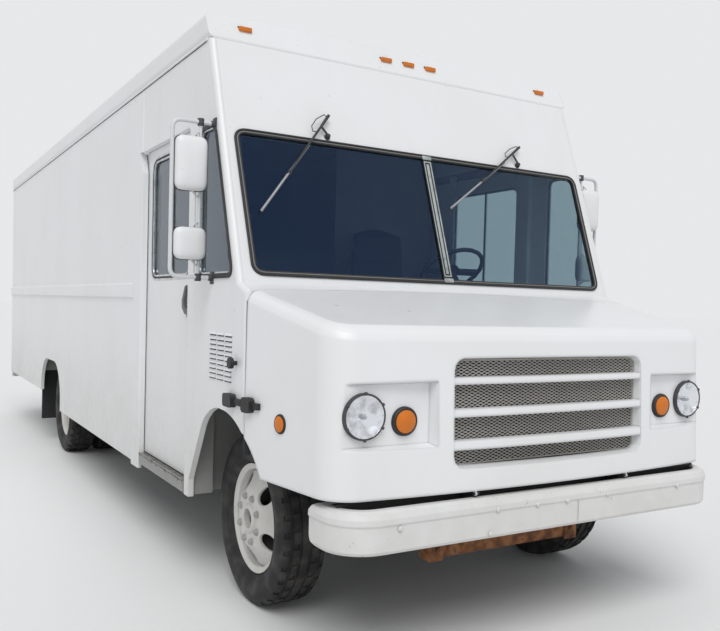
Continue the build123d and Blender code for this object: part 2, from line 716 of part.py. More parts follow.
# Raked front panel with the windshield opening, the cowl and the firewall
with BuildPart() as front_panel:
    side_prism([(rake_top_y, roof_line_z), (cowl_top_y, cowl_top_z), (cowl_front_y, cowl_front_z),
                (cowl_front_y, 975), (cowl_front_y + firewall_thickness, 975),
                (cowl_front_y + firewall_thickness, cowl_front_z - 14),
                (cowl_top_y + wall, cowl_top_z - 30), (rake_top_y + wall, roof_line_z)],
               -inner_half_width, inner_half_width)
    extrude(windshield_outline(0), amount=80, both=True, mode=Mode.SUBTRACT)
    block((-320, 320), (cowl_front_y - 1, cowl_front_y + firewall_thickness + 1), (974, 1120),
          mode=Mode.SUBTRACT)
save(front_panel, "front_panel")

# Windshield panes, rubber surround and centre divider
with BuildPart() as windshield_seal:
    extrude(windshield_outline(0), amount=seal_stand)
    extrude(windshield_outline(0), amount=-18)
    extrude(windshield_outline(seal_width), amount=40, both=True, mode=Mode.SUBTRACT)
    with BuildSketch(rake_plane.offset(-18)) as divider:
        with Locations((0, (up_slope(glass_bottom_z) + up_slope(glass_top_z)) / 2)):
            Rectangle(divider_width, up_slope(glass_top_z) - up_slope(glass_bottom_z) - seal_width)
    extrude(divider.sketch, amount=18 + seal_stand)
save(windshield_seal, "windshield_seal")

# Cab sides: the doorway, quarter window, wheel arch, louvres and corner post
quarter_low_z = 1603
quarter_high_z = 2332
quarter_rear_y = station(305)
quarter_setback = 58
louvre_rows = 10
louvre_columns = 3
louvre_pitch = 23
louvre_length = 88
louvre_stand = 8


def quarter_outline(x_place, inset):
    """Quarter window outline in side view, made smaller all round by an inset."""
    low, high = quarter_low_z + inset, quarter_high_z - inset
    front = quarter_setback + inset
    with BuildSketch(Plane.YZ.offset(x_place)) as outline:
        with BuildLine():
            Polyline((rake_y(low) + front, low), (quarter_rear_y - inset, low),
                     (quarter_rear_y - inset, high), (rake_y(high) + front, high), close=True)
        make_face()
        fillet(outline.vertices(), 45 - inset)
    return outline.sketch


for name, side in sides:
    with BuildPart() as cab_side:
        with BuildSketch(Plane.YZ.offset(min(side * inner_half_width, side * half_width))) as cab_outline:
            with BuildLine():
                Polyline((arch_bottom_y, arch_corner_z), (arch_bottom_y, cab_skirt_z),
                         (post_seam_y, cab_skirt_z), (post_seam_y, roof_line_z), (rake_top_y, roof_line_z),
                         (cowl_top_y, cowl_top_z), (cowl_front_y, cowl_front_z),
                         (cowl_front_y, arch_centre_z + (arch_radius ** 2
                                                         - (cowl_front_y - arch_centre_y) ** 2) ** 0.5))
                crown = (arch_centre_y, arch_centre_z + arch_radius)
                front_low = (cowl_front_y, arch_centre_z + (arch_radius ** 2
                                                            - (cowl_front_y - arch_centre_y) ** 2) ** 0.5)
                half_turn = radians(degrees(atan2(front_low[1] - arch_centre_z,
                                                  arch_centre_y - front_low[0])) / 2 + 45)
                ThreePointArc(front_low, (arch_centre_y - arch_radius * cos(half_turn),
                                          arch_centre_z + arch_radius * sin(half_turn)), crown)
                ThreePointArc(crown, (station(117), 934), (arch_shoulder_y, arch_shoulder_z))
                Line((arch_shoulder_y, arch_shoulder_z), (arch_bottom_y, arch_corner_z))
            make_face()
        extrude(cab_outline.sketch, amount=wall)
        front_edges = [edge for edge in cab_side.edges().filter_by(GeomType.LINE)
                       if abs(edge.center().X - side * half_width) < 1 and edge.center().Y < station(10)
                       and edge.center().Z > arch_centre_z + arch_radius / 2
                       and abs(edge.tangent_at(0).X) < 0.1]
        fillet(front_edges, corner_radius)
        round_block((side * (inner_half_width - 1), side * (half_width + 1)), (door_jamb_y, door_post_y),
                    (step_top_z - 200, door_head_z), 24, Axis.X, mode=Mode.SUBTRACT)
        extrude(quarter_outline(side * (half_width - wall / 2), 0), amount=wall, both=True,
                mode=Mode.SUBTRACT)
        round_block((side * (half_width - 20), side * (half_width + post_stand)), (door_post_y, post_seam_y),
                    (post_bottom_z, roof_line_z - 30), post_stand - 1, Axis.Z)
        side_prism([(door_post_y - 1, 2250), (door_post_y + 52, door_head_z), (door_post_y - 1, door_head_z)],
                   side * (inner_half_width - 1), side * (half_width + post_stand + 1), mode=Mode.SUBTRACT)
        with BuildSketch(Plane.XZ.offset(-station(-185))) as wedge:
            for row in range(louvre_rows):
                z = 1112 + louvre_pitch * row
                with BuildLine():
                    Polyline((side * (half_width - 2), z), (side * (half_width + louvre_stand), z),
                             (side * (half_width - 2), z + 16), close=True)
                make_face()
        for column in range(louvre_columns):
            extrude(wedge.sketch.moved(Location((0, column * (louvre_length + 14), 0))),
                    amount=-louvre_length)
    save(cab_side, f"cab_side_{name}")

# Cab glass: two windshield panes and the two quarter windows
pane_rest = 12
with BuildPart() as cab_glass:
    extrude(windshield_outline(seal_width).moved(
        Location(rake_plane.z_dir * -pane_rest)), amount=glass_thickness)
    block((-divider_width / 2, divider_width / 2), (cowl_top_y - 100, rake_top_y + 100),
          (glass_bottom_z - 50, glass_top_z + 50), mode=Mode.SUBTRACT)
    for name, side in sides:
        extrude(quarter_outline(side * (half_width - 18), 0), amount=glass_thickness / 2, both=True)
save(cab_glass, "cab_glass")

# Sliding cab doors with a window and a handle
track_z = door_top_z + 10
track_gauge = 6
roller_radius = 14
roller_z = track_z + track_gauge + roller_radius + seat_gap
door_window_front_y = station(560)
door_window_rear_y = station(1272)
door_window_low_z = 1610
door_window_high_z = 2312
handle_points = [
    # y, z round the curved pull
    (station(500), 1400), (station(560), 1408), (station(604), 1440), (station(606), 1480),
    (station(560), 1552), (station(540), 1556), (station(576), 1478), (station(574), 1452),
    (station(548), 1432), (station(500), 1426)]
for name, side in sides:
    with BuildPart() as cab_door:
        block((side * door_inner_x, side * door_outer_x), (door_front_y, door_rear_y),
              (door_bottom_z, door_top_z))
        round_block((side * (door_inner_x - 1), side * (door_outer_x + 1)),
                    (door_window_front_y, door_window_rear_y),
                    (door_window_low_z, door_window_high_z), 60, Axis.X, mode=Mode.SUBTRACT)
        for hanger_y in (door_front_y + 130, door_rear_y - 130):
            block((side * (door_inner_x - 8), side * door_inner_x), (hanger_y - 35, hanger_y + 35),
                  (door_top_z - 60, roller_z + roller_radius))
            disc_x(side * (door_inner_x - 8), side * (door_inner_x + 24), hanger_y, roller_z, roller_radius)
        block((side * door_outer_x, side * (door_outer_x + 22)), (station(480), station(524)), (1392, 1436))
        side_prism(handle_points, side * (door_outer_x + 8), side * (door_outer_x + 22))
    save(cab_door, f"cab_door_{name}")
    with BuildPart() as door_glass:
        round_block((side * (door_inner_x + 12), side * (door_inner_x + 18)),
                    (door_window_front_y + 1, door_window_rear_y - 1),
                    (door_window_low_z + 1, door_window_high_z - 1), 59, Axis.X)
    save(door_glass, f"door_glass_{name}")

# Tracks that the doors hang from, along the inside of the body
with BuildPart() as door_tracks:
    for name, side in sides:
        track_y = (door_front_y, door_rear_y + door_travel)
        block((side * (door_inner_x + 6), side * inner_half_width), track_y, (track_z, track_z + track_gauge))
        block((side * (inner_half_width - track_gauge), side * inner_half_width), track_y,
              (track_z, track_z + 60))
save(door_tracks, "door_tracks")

# Bulkhead behind the seats, with a walk-through doorway
with BuildPart() as bulkhead:
    block((-pocket_inner, pocket_inner), (station(1560), station(1590)), (floor_z, roof_line_z))
    block((-470, 260), (station(1550), station(1600)), (floor_z, 2600), mode=Mode.SUBTRACT)
save(bulkhead, "bulkhead")

# Dashboard and the cover over the engine
with BuildPart() as dashboard:
    side_prism([(cowl_front_y + firewall_thickness, 1180), (cowl_front_y + firewall_thickness, 1480),
                (station(-195), 1520), (station(20), 1520), (station(60), 1470), (station(20), 1180)],
               -1090, 1090)
    round_block((-335, 335), (cowl_front_y + firewall_thickness, station(700)), (floor_z, 1180), 40, Axis.Y)
    block((-310, 310), (cowl_front_y, station(670)), (floor_z - 1, 1150), mode=Mode.SUBTRACT)
save(dashboard, "dashboard")

# Driver's seat and steering wheel
seat_x = 400
with BuildPart() as seat:
    block((seat_x - 150, seat_x + 150), (station(800), station(1100)), (floor_z, 1300))
    round_block((seat_x - 235, seat_x + 235), (station(710), station(1180)), (1300, 1400), 40, Axis.Z)
    back_plane = Plane((seat_x, station(1120), 1700), x_dir=(1, 0, 0),
                       z_dir=(0, -cos(radians(8)), sin(radians(8))))
    with BuildSketch(back_plane) as seat_back:
        RectangleRounded(450, 640, 110)
    extrude(seat_back.sketch, amount=-90)
save(seat, "seat")

column_angle = 52
wheel_centre = (430, station(350), 1700)
wheel_plane = Plane(wheel_centre, x_dir=(1, 0, 0),
                    z_dir=(0, sin(radians(90 - column_angle)), cos(radians(90 - column_angle))))
grip_radius = 202
grip_flats = 20
grip_half = 13
tube_sides = 8
with BuildPart() as steering_wheel:
    grip_corner = grip_radius / cos(pi / grip_flats)
    grip_corners = [(grip_corner * cos(2 * pi * (count + 0.5) / grip_flats),
                     grip_corner * sin(2 * pi * (count + 0.5) / grip_flats)) for count in range(grip_flats)]
    with BuildLine(wheel_plane) as grip_path:
        Polyline((grip_radius, 0), *grip_corners, close=True)
    with BuildSketch(Plane(grip_path.line @ 0, z_dir=wheel_plane.y_dir)) as grip:
        RegularPolygon(grip_half, tube_sides)
    sweep(grip.sketch, path=grip_path.line, transition=Transition.RIGHT)
    with BuildSketch(wheel_plane.offset(-grip_half + 2)) as spokes:
        Rectangle(2 * grip_radius, 40)
        Circle(50)
    extrude(spokes.sketch, amount=2 * grip_half - 4)
    with BuildSketch(wheel_plane.offset(-grip_half + 2)) as column:
        Circle(24)
    extrude(column.sketch, amount=-560)
    add(dashboard.part, mode=Mode.SUBTRACT)
save(steering_wheel, "steering_wheel")


# Hood: a moulded shell that leans back, with lamp pockets and one grille opening
hood_lean_angle = degrees(atan2(hood_lean, hood_section_top_z - hood_bottom_z))
side_taper = (half_width - hood_front_half) / (hood_rear_y - hood_front_y)
bow_radius = (hood_front_half ** 2 + hood_bow ** 2) / (2 * hood_bow)
bow_centre_y = hood_front_y - hood_bow + bow_radius
hood_far_x = 1400
lean_plane = Plane((0, hood_front_y, hood_bottom_z), x_dir=(1, 0, 0),
                   z_dir=(0, sin(radians(hood_lean_angle)), cos(radians(hood_lean_angle))))


def hood_side_x(y, z):
    """Half width of the hood's outside at a place on its side."""
    along = ((y - hood_front_y) * cos(radians(hood_lean_angle))
             - (z - hood_bottom_z) * sin(radians(hood_lean_angle)))
    return hood_front_half + side_taper * along


def hood_side_facing(side):
    """Direction that the hood's side faces."""
    return (side, -side_taper * cos(radians(hood_lean_angle)), side_taper * sin(radians(hood_lean_angle)))


def crown_z(y, inset):
    """Height of the hood's top along its middle line, lowered by an inset."""
    return (hood_rear_z + hood_crown - inset / cos(radians(hood_pitch))
            + (y - hood_rear_y) * tan(radians(hood_pitch)))


def hood_body(inset, low_z, rear_reach):
    """Hood's outline from a low edge up to its falling, crowned top, made smaller by an inset."""
    depth = hood_rear_y + rear_reach - hood_front_y + 80
    front_half = hood_front_half - inset + side_taper * inset
    rear_half = front_half + side_taper * (depth - inset)
    rear, ahead = hood_rear_y + rear_reach, hood_front_y - 400
    with BuildPart() as body:
        with BuildSketch(lean_plane.offset(-hood_draw)) as outline:
            with BuildLine():
                Polyline((front_half, inset), (rear_half, depth), (-rear_half, depth), (-front_half, inset))
                ThreePointArc((-front_half, inset), (0, inset - hood_bow), (front_half, inset))
            make_face()
            fillet(outline.vertices().group_by(Axis.Y)[0], hood_corner_radius - inset)
        extrude(outline.sketch, amount=hood_section_top_z - hood_bottom_z + hood_draw)
        # The top turns about a far upright axis, so that it follows the bow of the front
        turn = 2 * degrees(atan2(half_width + 300, bow_radius - 900))
        with BuildSketch(Plane.YZ) as top_side:
            with BuildLine():
                Polyline((ahead, low_z - 300), (ahead, crown_z(ahead, inset)),
                         (rear + 60, crown_z(rear + 60, inset)), (rear + 60, low_z - 300), close=True)
            make_face()
        turning_axis = Axis((0, bow_centre_y, 0), (0, 0, 1))
        revolve(top_side.sketch.rotate(turning_axis, -turn / 2), axis=turning_axis, revolution_arc=turn,
                mode=Mode.INTERSECT)
        block((-hood_far_x, hood_far_x), (rear, rear + 400), (low_z - 400, 1800), mode=Mode.SUBTRACT)
        block((-hood_far_x, hood_far_x), (ahead, rear + 400), (low_z - 400, low_z), mode=Mode.SUBTRACT)
    return body.part


def eased(body, size):
    """Hood body with its top's front and side edges eased by flats in place of a rounding."""
    with BuildPart() as piece:
        add(body)
        rim = piece.faces().sort_by(Axis.Z)[-1].edges().sort_by(Axis.Y)[:-1]
        chamfer(rim, 0.586 * size)
        rim = piece.faces().sort_by(Axis.Z)[-1].edges().sort_by(Axis.Y)[:-1]
        upright = piece.faces().filter_by(lambda face: abs(face.normal_at().Z) < 0.2).sort_by(Axis.Y)[:-1]
        low_rim = [face.edges().sort_by(Axis.Z)[-1] for face in upright]
        chamfer(list(rim) + low_rim, 0.215 * size)
    return piece.part


def lamp_pocket(side, grow, mode):
    """Recess for the lamps, open at the hood's corner and made larger all round by grow."""
    middle = (side * (pocket_inner_x + pocket_reach / 2), lamp_plane_y + grow,
              (pocket_low_z + pocket_high_z) / 2)
    with BuildSketch(Plane(middle, x_dir=(1, 0, 0), z_dir=(0, -1, 0))) as mouth:
        Rectangle(pocket_reach + 2 * grow, pocket_high_z - pocket_low_z + 2 * grow)
    extrude(mouth.sketch, amount=300, taper=-pocket_draft, mode=mode)


def grille_mouth(grow):
    """Grille opening, wider towards the front and made larger all round by grow."""
    with BuildPart() as mouth:
        middle = (0, hood_front_y + 60, (grille_z[0] + grille_z[1]) / 2)
        with BuildSketch(Plane(middle, x_dir=(1, 0, 0), z_dir=(0, -1, 0))) as outline:
            soft_rectangle(2 * (grille_half - 20 + grow), grille_z[1] - grille_z[0] - 40 + 2 * grow,
                           grille_corner_radius + grow)
        extrude(outline.sketch, amount=200, taper=-grille_draft)
    return mouth.part


with BuildPart() as hood_cavity:
    add(eased(hood_body(hood_wall, hood_bottom_z - 20, 30), hood_edge_radius - hood_wall))
    for name, side in sides:
        lamp_pocket(side, hood_wall, Mode.SUBTRACT)

# Rim inside the grille opening, and the bars that follow the bow of the front
with BuildPart() as grille_frame:
    add(hood_body(0, hood_bottom_z, 0))
    add(hood_body(grille_depth, hood_bottom_z - 20, 30), mode=Mode.SUBTRACT)
    add(grille_mouth(grille_rim), mode=Mode.INTERSECT)
    add(grille_mouth(0), mode=Mode.SUBTRACT)

with BuildPart() as grille_bars:
    add(hood_body(3, hood_bottom_z, 0))
    add(hood_body(grille_depth - 5, hood_bottom_z - 20, 30), mode=Mode.SUBTRACT)
    with BuildPart(mode=Mode.INTERSECT):
        for bar_z in bar_rows:
            block((-grille_half - grille_rim, grille_half + grille_rim),
                  (front_y - 50, hood_front_y + 60), bar_z)
    add(grille_mouth(grille_rim / 2), mode=Mode.INTERSECT)

with BuildPart() as hood:
    add(eased(hood_body(0, hood_bottom_z, 0), hood_edge_radius))
    add(hood_cavity.part, mode=Mode.SUBTRACT)
    for name, side in sides:
        lamp_pocket(side, 0, Mode.SUBTRACT)
    add(grille_mouth(0), mode=Mode.SUBTRACT)
    add(grille_frame.part)
    add(grille_bars.part)
    with BuildSketch(Plane.YZ.offset(-hood_far_x)) as arch_cut:
        with Locations((arch_centre_y, arch_centre_z)):
            Circle(arch_radius)
    extrude(arch_cut.sketch, amount=2 * hood_far_x, mode=Mode.SUBTRACT)
    for name, side in sides:
        side_prism([(hinge_y - lug_radius, hinge_z), (hinge_y + lug_radius, hinge_z), (hinge_y + 36, 750),
                    (hinge_y + 36, 790), (hinge_y + 5, 790), (hinge_y + 5, 740)],
                   side * hinge_x, side * (hinge_x + lug_gauge))
        disc_x(side * hinge_x, side * (hinge_x + lug_gauge), hinge_y, hinge_z, lug_radius)
        disc_x(side * (hinge_x - 1), side * (hinge_x + lug_gauge + 1), hinge_y, hinge_z,
               hinge_pin + running_clearance, mode=Mode.SUBTRACT)
save(hood, "hood")

# Grille mesh: one perforated sheet seated behind the rim
mesh_columns = 14
mesh_half = grille_half - 24
mesh_inset = grille_depth + seat_gap
mesh_front_half = hood_front_half - mesh_inset + side_taper * mesh_inset
mesh_bow_radius = (mesh_front_half ** 2 + hood_bow ** 2) / (2 * hood_bow)
mesh_folds = [-grille_half - 40] + [
    2 * mesh_half * (2 * count / mesh_columns - 0.5) for count in range(1, mesh_columns // 2)]
mesh_folds.append(grille_half + 40)
mesh_front = [(x, mesh_inset - hood_bow + mesh_bow_radius - (mesh_bow_radius ** 2 - x ** 2) ** 0.5)
              for x in mesh_folds]
mesh_back = [(x, y + mesh_gauge) for x, y in reversed(mesh_front)]
mesh_rows = [(grille_z[0] + 26, bar_rows[0][0] - 4), (bar_rows[0][1] + 4, bar_rows[1][0] - 4),
             (bar_rows[1][1] + 4, bar_rows[2][0] - 4), (bar_rows[2][1] + 4, grille_z[1] - 26)]
diamond_share = 0.43
with BuildPart() as grille_mesh:
    pitch = 2 * mesh_half / mesh_columns
    with BuildSketch(lean_plane) as mesh_plan:
        with BuildLine():
            Polyline(*mesh_front, *mesh_back, close=True)
        make_face()
    extrude(mesh_plan.sketch, amount=hood_section_top_z - hood_bottom_z)
    add(grille_mouth(grille_rim), mode=Mode.INTERSECT)
    with BuildSketch(Plane.XZ.offset(-hood_front_y - 60)) as diamonds:
        for low, high in mesh_rows:
            middle_z, half_high = (low + high) / 2, diamond_share * (high - low)
            for column in range(mesh_columns):
                x = pitch * (column + 0.5) - mesh_half
                with BuildLine():
                    Polyline((x - pitch * diamond_share, middle_z), (x, middle_z - half_high),
                             (x + pitch * diamond_share, middle_z), (x, middle_z + half_high), close=True)
                make_face()
    extrude(diamonds.sketch, amount=300, mode=Mode.SUBTRACT)
save(grille_mesh, "grille_mesh")

# Radiator on the rails behind the grille
with BuildPart() as radiator:
    block((-420, 420), (station(-907), station(-847)), (frame_top_z, 1250))
save(radiator, "radiator")

# Headlamps, and the amber lamps beside them and on the hood's sides
lamp_flats = 20
with BuildPart() as headlamps:
    for name, side in sides:
        prism((side * headlamp_x, lamp_plane_y, headlamp_z), (0, -1, 0), headlamp_radius, lamp_flats, 22)
        prism((side * headlamp_x, lamp_plane_y - 22, headlamp_z), (0, -1, 0), headlamp_radius - 12,
              lamp_flats, 8)
save(headlamps, "headlamps")

side_marker_radius = 42
marker_side_x = hood_side_x(side_marker_y, side_marker_z)
with BuildPart() as hood_lamps:
    for name, side in sides:
        prism((side * turn_lamp_x, lamp_plane_y, turn_lamp_z), (0, -1, 0), turn_lamp_radius, lamp_flats, 20)
        prism((side * turn_lamp_x, lamp_plane_y - 20, turn_lamp_z), (0, -1, 0), turn_lamp_radius - 15,
              lamp_flats, 12)
        marker_middle = (side * marker_side_x, side_marker_y, side_marker_z)
        for radius, stand in [(side_marker_radius, 12), (side_marker_radius - 10, 22)]:
            prism(marker_middle, hood_side_facing(side), radius, lamp_flats, stand)
save(hood_lamps, "hood_lamps")

# Rubber hood latches on the cab sides, and their keepers across the seam on the hood
latch_z = (1000, 1060)
strap_z = (1016, 1044)
knob_y = station(-245)
knob_z = 1202
with BuildPart() as hood_latches:
    for name, side in sides:
        with BuildSketch(Plane.YZ.offset(side * half_width)) as pad:
            with Locations((station(-200), sum(latch_z) / 2)):
                soft_rectangle(100, latch_z[1] - latch_z[0], 16)
        extrude(pad.sketch, amount=side * 30)
        block((side * half_width, side * (half_width + 16)), (station(-332), station(-240)), strap_z)
        prism((side * half_width, knob_y, knob_z), (side, 0, 0), 10, 6, 20)
        prism((side * (half_width + 20), knob_y, knob_z), (side, 0, 0), 25, 12, 18)
save(hood_latches, "hood_latches")

keeper_y = station(-420)
keeper_x = hood_side_x(keeper_y, sum(latch_z) / 2)
with BuildPart() as latch_keepers:
    for name, side in sides:
        keeper_plane = Plane((side * keeper_x, keeper_y, sum(latch_z) / 2), x_dir=(0, 0, 1),
                             z_dir=hood_side_facing(side))
        with BuildSketch(keeper_plane) as keeper:
            with Locations((0, -25 * side)):
                Rectangle(latch_z[1] - latch_z[0] + 6, 70)
            chamfer(keeper.vertices(), 12)
        extrude(keeper.sketch, amount=30)
        with BuildSketch(keeper_plane) as strap:
            with Locations((0, 25 * side)):
                Rectangle(strap_z[1] - strap_z[0], 70)
        extrude(strap.sketch, amount=16)
save(latch_keepers, "latch_keepers")

# Door mirrors: a tube loop with an inner stay, a tall head and a convex head
stay_x = 1216
head_rows = [(1999, 2254), (1673, 1825)]
head_x = (1230, 1383)
with BuildPart() as mirrors:
    for name, side in sides:
        with BuildLine() as loop:
            Polyline((side * half_width, mirror_y, mirror_top_z),
                     (side * (mirror_x - mirror_bend), mirror_y, mirror_top_z),
                     (side * mirror_x, mirror_y, mirror_top_z - mirror_bend),
                     (side * mirror_x, mirror_y, mirror_bottom_z + mirror_bend),
                     (side * (mirror_x - mirror_bend), mirror_y, mirror_bottom_z),
                     (side * half_width, mirror_y, mirror_bottom_z))
        with BuildSketch(Plane(loop.line @ 0, z_dir=loop.line % 0)) as tube:
            RegularPolygon(mirror_tube, tube_sides)
        sweep(tube.sketch, path=loop.line, transition=Transition.RIGHT)
        block((side * (stay_x - 7), side * (stay_x + 7)), (mirror_y - 7, mirror_y + 7),
              (mirror_bottom_z, mirror_top_z))
        for head_z in head_rows:
            head_middle = (side * sum(head_x) / 2, mirror_y - mirror_tube + 2, sum(head_z) / 2)
            with BuildSketch(Plane(head_middle, x_dir=(1, 0, 0), z_dir=(0, -1, 0))) as head:
                soft_rectangle(head_x[1] - head_x[0], head_z[1] - head_z[0], 30)
            extrude(head.sketch, amount=18)
            extrude(head.sketch.moved(Location((0, -18, 0))), amount=28, taper=30)
            block((side * head_x[0], side * mirror_x), (mirror_y - mirror_tube, mirror_y - 2),
                  (head_middle[2] - 8, head_middle[2] + 8))
save(mirrors, "mirrors")

# Wipers hung from pivots above the windshield
wiper_rows = [
    # pivot x, tip x, tip z
    (-620, -1020, 1906),
    (680, 110, 2015),
]
wiper_pivot_z = 2402
with BuildPart() as wipers:
    for pivot_x, tip_x, tip_z in wiper_rows:
        pivot = Vector(pivot_x, up_slope(wiper_pivot_z))
        tip = Vector(tip_x, up_slope(tip_z))
        run = tip - pivot
        angle = degrees(atan2(run.Y, run.X))
        with BuildSketch(rake_plane.offset(seal_stand + 4)) as arm:
            with Locations(Location((pivot + run * 0.5), (0, 0, angle))):
                Rectangle(run.length, 14)
        extrude(arm.sketch, amount=16)
        with BuildSketch(rake_plane) as post:
            with Locations(pivot):
                Circle(16)
        extrude(post.sketch, amount=seal_stand + 22)
save(wipers, "wipers")

# Tail lamps on the rear frame
with BuildPart() as tail_lamps:
    for name, side in sides:
        for z in (1000, 1150):
            prism((side * 960, body_rear_y, z), (0, 1, 0), 55, lamp_flats, 20)
save(tail_lamps, "tail_lamps")

# Step wells, with the wheel well walls ahead of them
sheet = 6
with BuildPart() as step_wells:
    for name, side in sides:
        block((side * well_inner_x, side * half_width), (liner_y, door_post_y), (step_top_z - 60, step_top_z))
        block((side * (well_inner_x + sheet), side * (half_width - 12)), (liner_y + sheet, door_post_y - 6),
              (step_top_z - 61, step_top_z - sheet), mode=Mode.SUBTRACT)
        block((side * well_inner_x, side * (well_inner_x + sheet)), (liner_y, station(1400)),
              (step_top_z - 60, floor_z))
        block((side * well_inner_x, side * pocket_inner), (station(1400) - sheet, station(1400)),
              (step_top_z - 60, floor_z))
        block((side * well_inner_x, side * pocket_inner), (door_post_y - sheet, station(1400)),
              (step_top_z - sheet, step_top_z))
        block((side * 515, side * 1050), (cowl_front_y + firewall_thickness, liner_y), (974, 980))
        block((side * 515, side * inner_half_width), (cowl_front_y + firewall_thickness, station(424)),
              (974, 980))
        block((side * 515, side * 521), (cowl_front_y + firewall_thickness, liner_y), (620, 975))
        block((side * 515, side * 1050), (liner_y - sheet, liner_y), (cab_skirt_z + 5, 975))
        block((side * 1044, side * 1050), (station(418), liner_y), (cab_skirt_z + 5, 975))
        block((side * 1044, side * inner_half_width), (station(418), station(424)),
              (cab_skirt_z + 5, 975))
save(step_wells, "step_wells")
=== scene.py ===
"""Looks of the white walk-in delivery van: its finishes, its fine pieces, the camera and the light.

Metres. +Z is up, the van faces -Y and its left (driver's) side is +X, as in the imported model.
"""

import json
import logging
import math
from dataclasses import dataclass
from enum import Enum
from typing import Any, Callable, Iterable, Sequence

import bmesh
import bpy
from mathutils import Matrix, Vector

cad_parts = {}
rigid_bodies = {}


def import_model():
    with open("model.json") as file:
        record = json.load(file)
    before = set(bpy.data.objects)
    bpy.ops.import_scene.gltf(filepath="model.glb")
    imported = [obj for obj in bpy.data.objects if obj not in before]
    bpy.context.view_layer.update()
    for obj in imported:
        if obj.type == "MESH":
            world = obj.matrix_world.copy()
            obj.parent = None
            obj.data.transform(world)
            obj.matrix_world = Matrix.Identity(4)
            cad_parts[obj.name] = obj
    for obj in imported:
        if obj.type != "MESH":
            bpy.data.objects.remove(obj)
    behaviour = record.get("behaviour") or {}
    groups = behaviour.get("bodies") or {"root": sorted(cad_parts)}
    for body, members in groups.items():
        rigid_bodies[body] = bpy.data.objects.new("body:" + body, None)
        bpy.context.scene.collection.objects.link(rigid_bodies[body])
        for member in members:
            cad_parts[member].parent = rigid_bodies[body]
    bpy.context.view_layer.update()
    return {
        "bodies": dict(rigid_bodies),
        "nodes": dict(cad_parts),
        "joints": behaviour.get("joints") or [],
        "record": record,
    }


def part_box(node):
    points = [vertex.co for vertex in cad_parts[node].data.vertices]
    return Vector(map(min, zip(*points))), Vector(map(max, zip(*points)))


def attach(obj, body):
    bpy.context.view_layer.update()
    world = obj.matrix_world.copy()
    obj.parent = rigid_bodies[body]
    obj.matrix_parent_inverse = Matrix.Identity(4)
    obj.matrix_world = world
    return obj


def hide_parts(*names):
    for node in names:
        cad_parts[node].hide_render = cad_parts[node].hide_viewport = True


log = logging.getLogger("walk_in_van")

Colour = tuple[float, float, float]
Point = Sequence[float]


class Wire:
    """A shader value that takes part in Python arithmetic by adding Math nodes."""

    def __init__(self, bench: "Bench", socket: Any) -> None:
        """Holds an output socket of a material.

        Args:
            bench: The material's node bench.
            socket: The output socket that carries the value.
        """
        self.bench = bench
        self.socket = socket

    def _join(self, operation: str, first: Any, second: Any) -> "Wire":
        """Adds one Math node.

        Args:
            operation: The Math node's operation.
            first: The first value or wire.
            second: The second value or wire.

        Returns:
            The result.
        """
        return self.bench.add("ShaderNodeMath", {"operation": operation}, {0: first, 1: second})

    def __add__(self, other: Any) -> "Wire":
        """Sum."""
        return self._join("ADD", self, other)

    __radd__ = __add__

    def __sub__(self, other: Any) -> "Wire":
        """Difference."""
        return self._join("SUBTRACT", self, other)

    def __rsub__(self, other: Any) -> "Wire":
        """Reflected difference."""
        return self._join("SUBTRACT", other, self)

    def __mul__(self, other: Any) -> "Wire":
        """Product."""
        return self._join("MULTIPLY", self, other)

    def __truediv__(self, other: Any) -> "Wire":
        """Quotient."""
        return self._join("DIVIDE", self, other)

    def __pow__(self, other: Any) -> "Wire":
        """Power."""
        return self._join("POWER", self, other)

    def from_nearest(self) -> "Wire":
        """Distance from the nearest whole number."""
        return self - self._join("ROUND", self, 0.0)

    def clamp(self) -> "Wire":
        """Value held between zero and one."""
        return self.bench.add("ShaderNodeClamp", {}, {"Value": self}, "Result")

    def ramp(self, low: float, high: float) -> "Wire":
        """Smooth rise from zero at a low value to one at a high value.

        Args:
            low: Value at which the rise starts.
            high: Value at which it ends.

        Returns:
            The risen value.
        """
        settings = {"interpolation_type": "SMOOTHSTEP"}
        sockets = {"Value": self, "From Min": low, "From Max": high, "To Min": 0.0, "To Max": 1.0}
        return self.bench.add("ShaderNodeMapRange", settings, sockets, "Result")


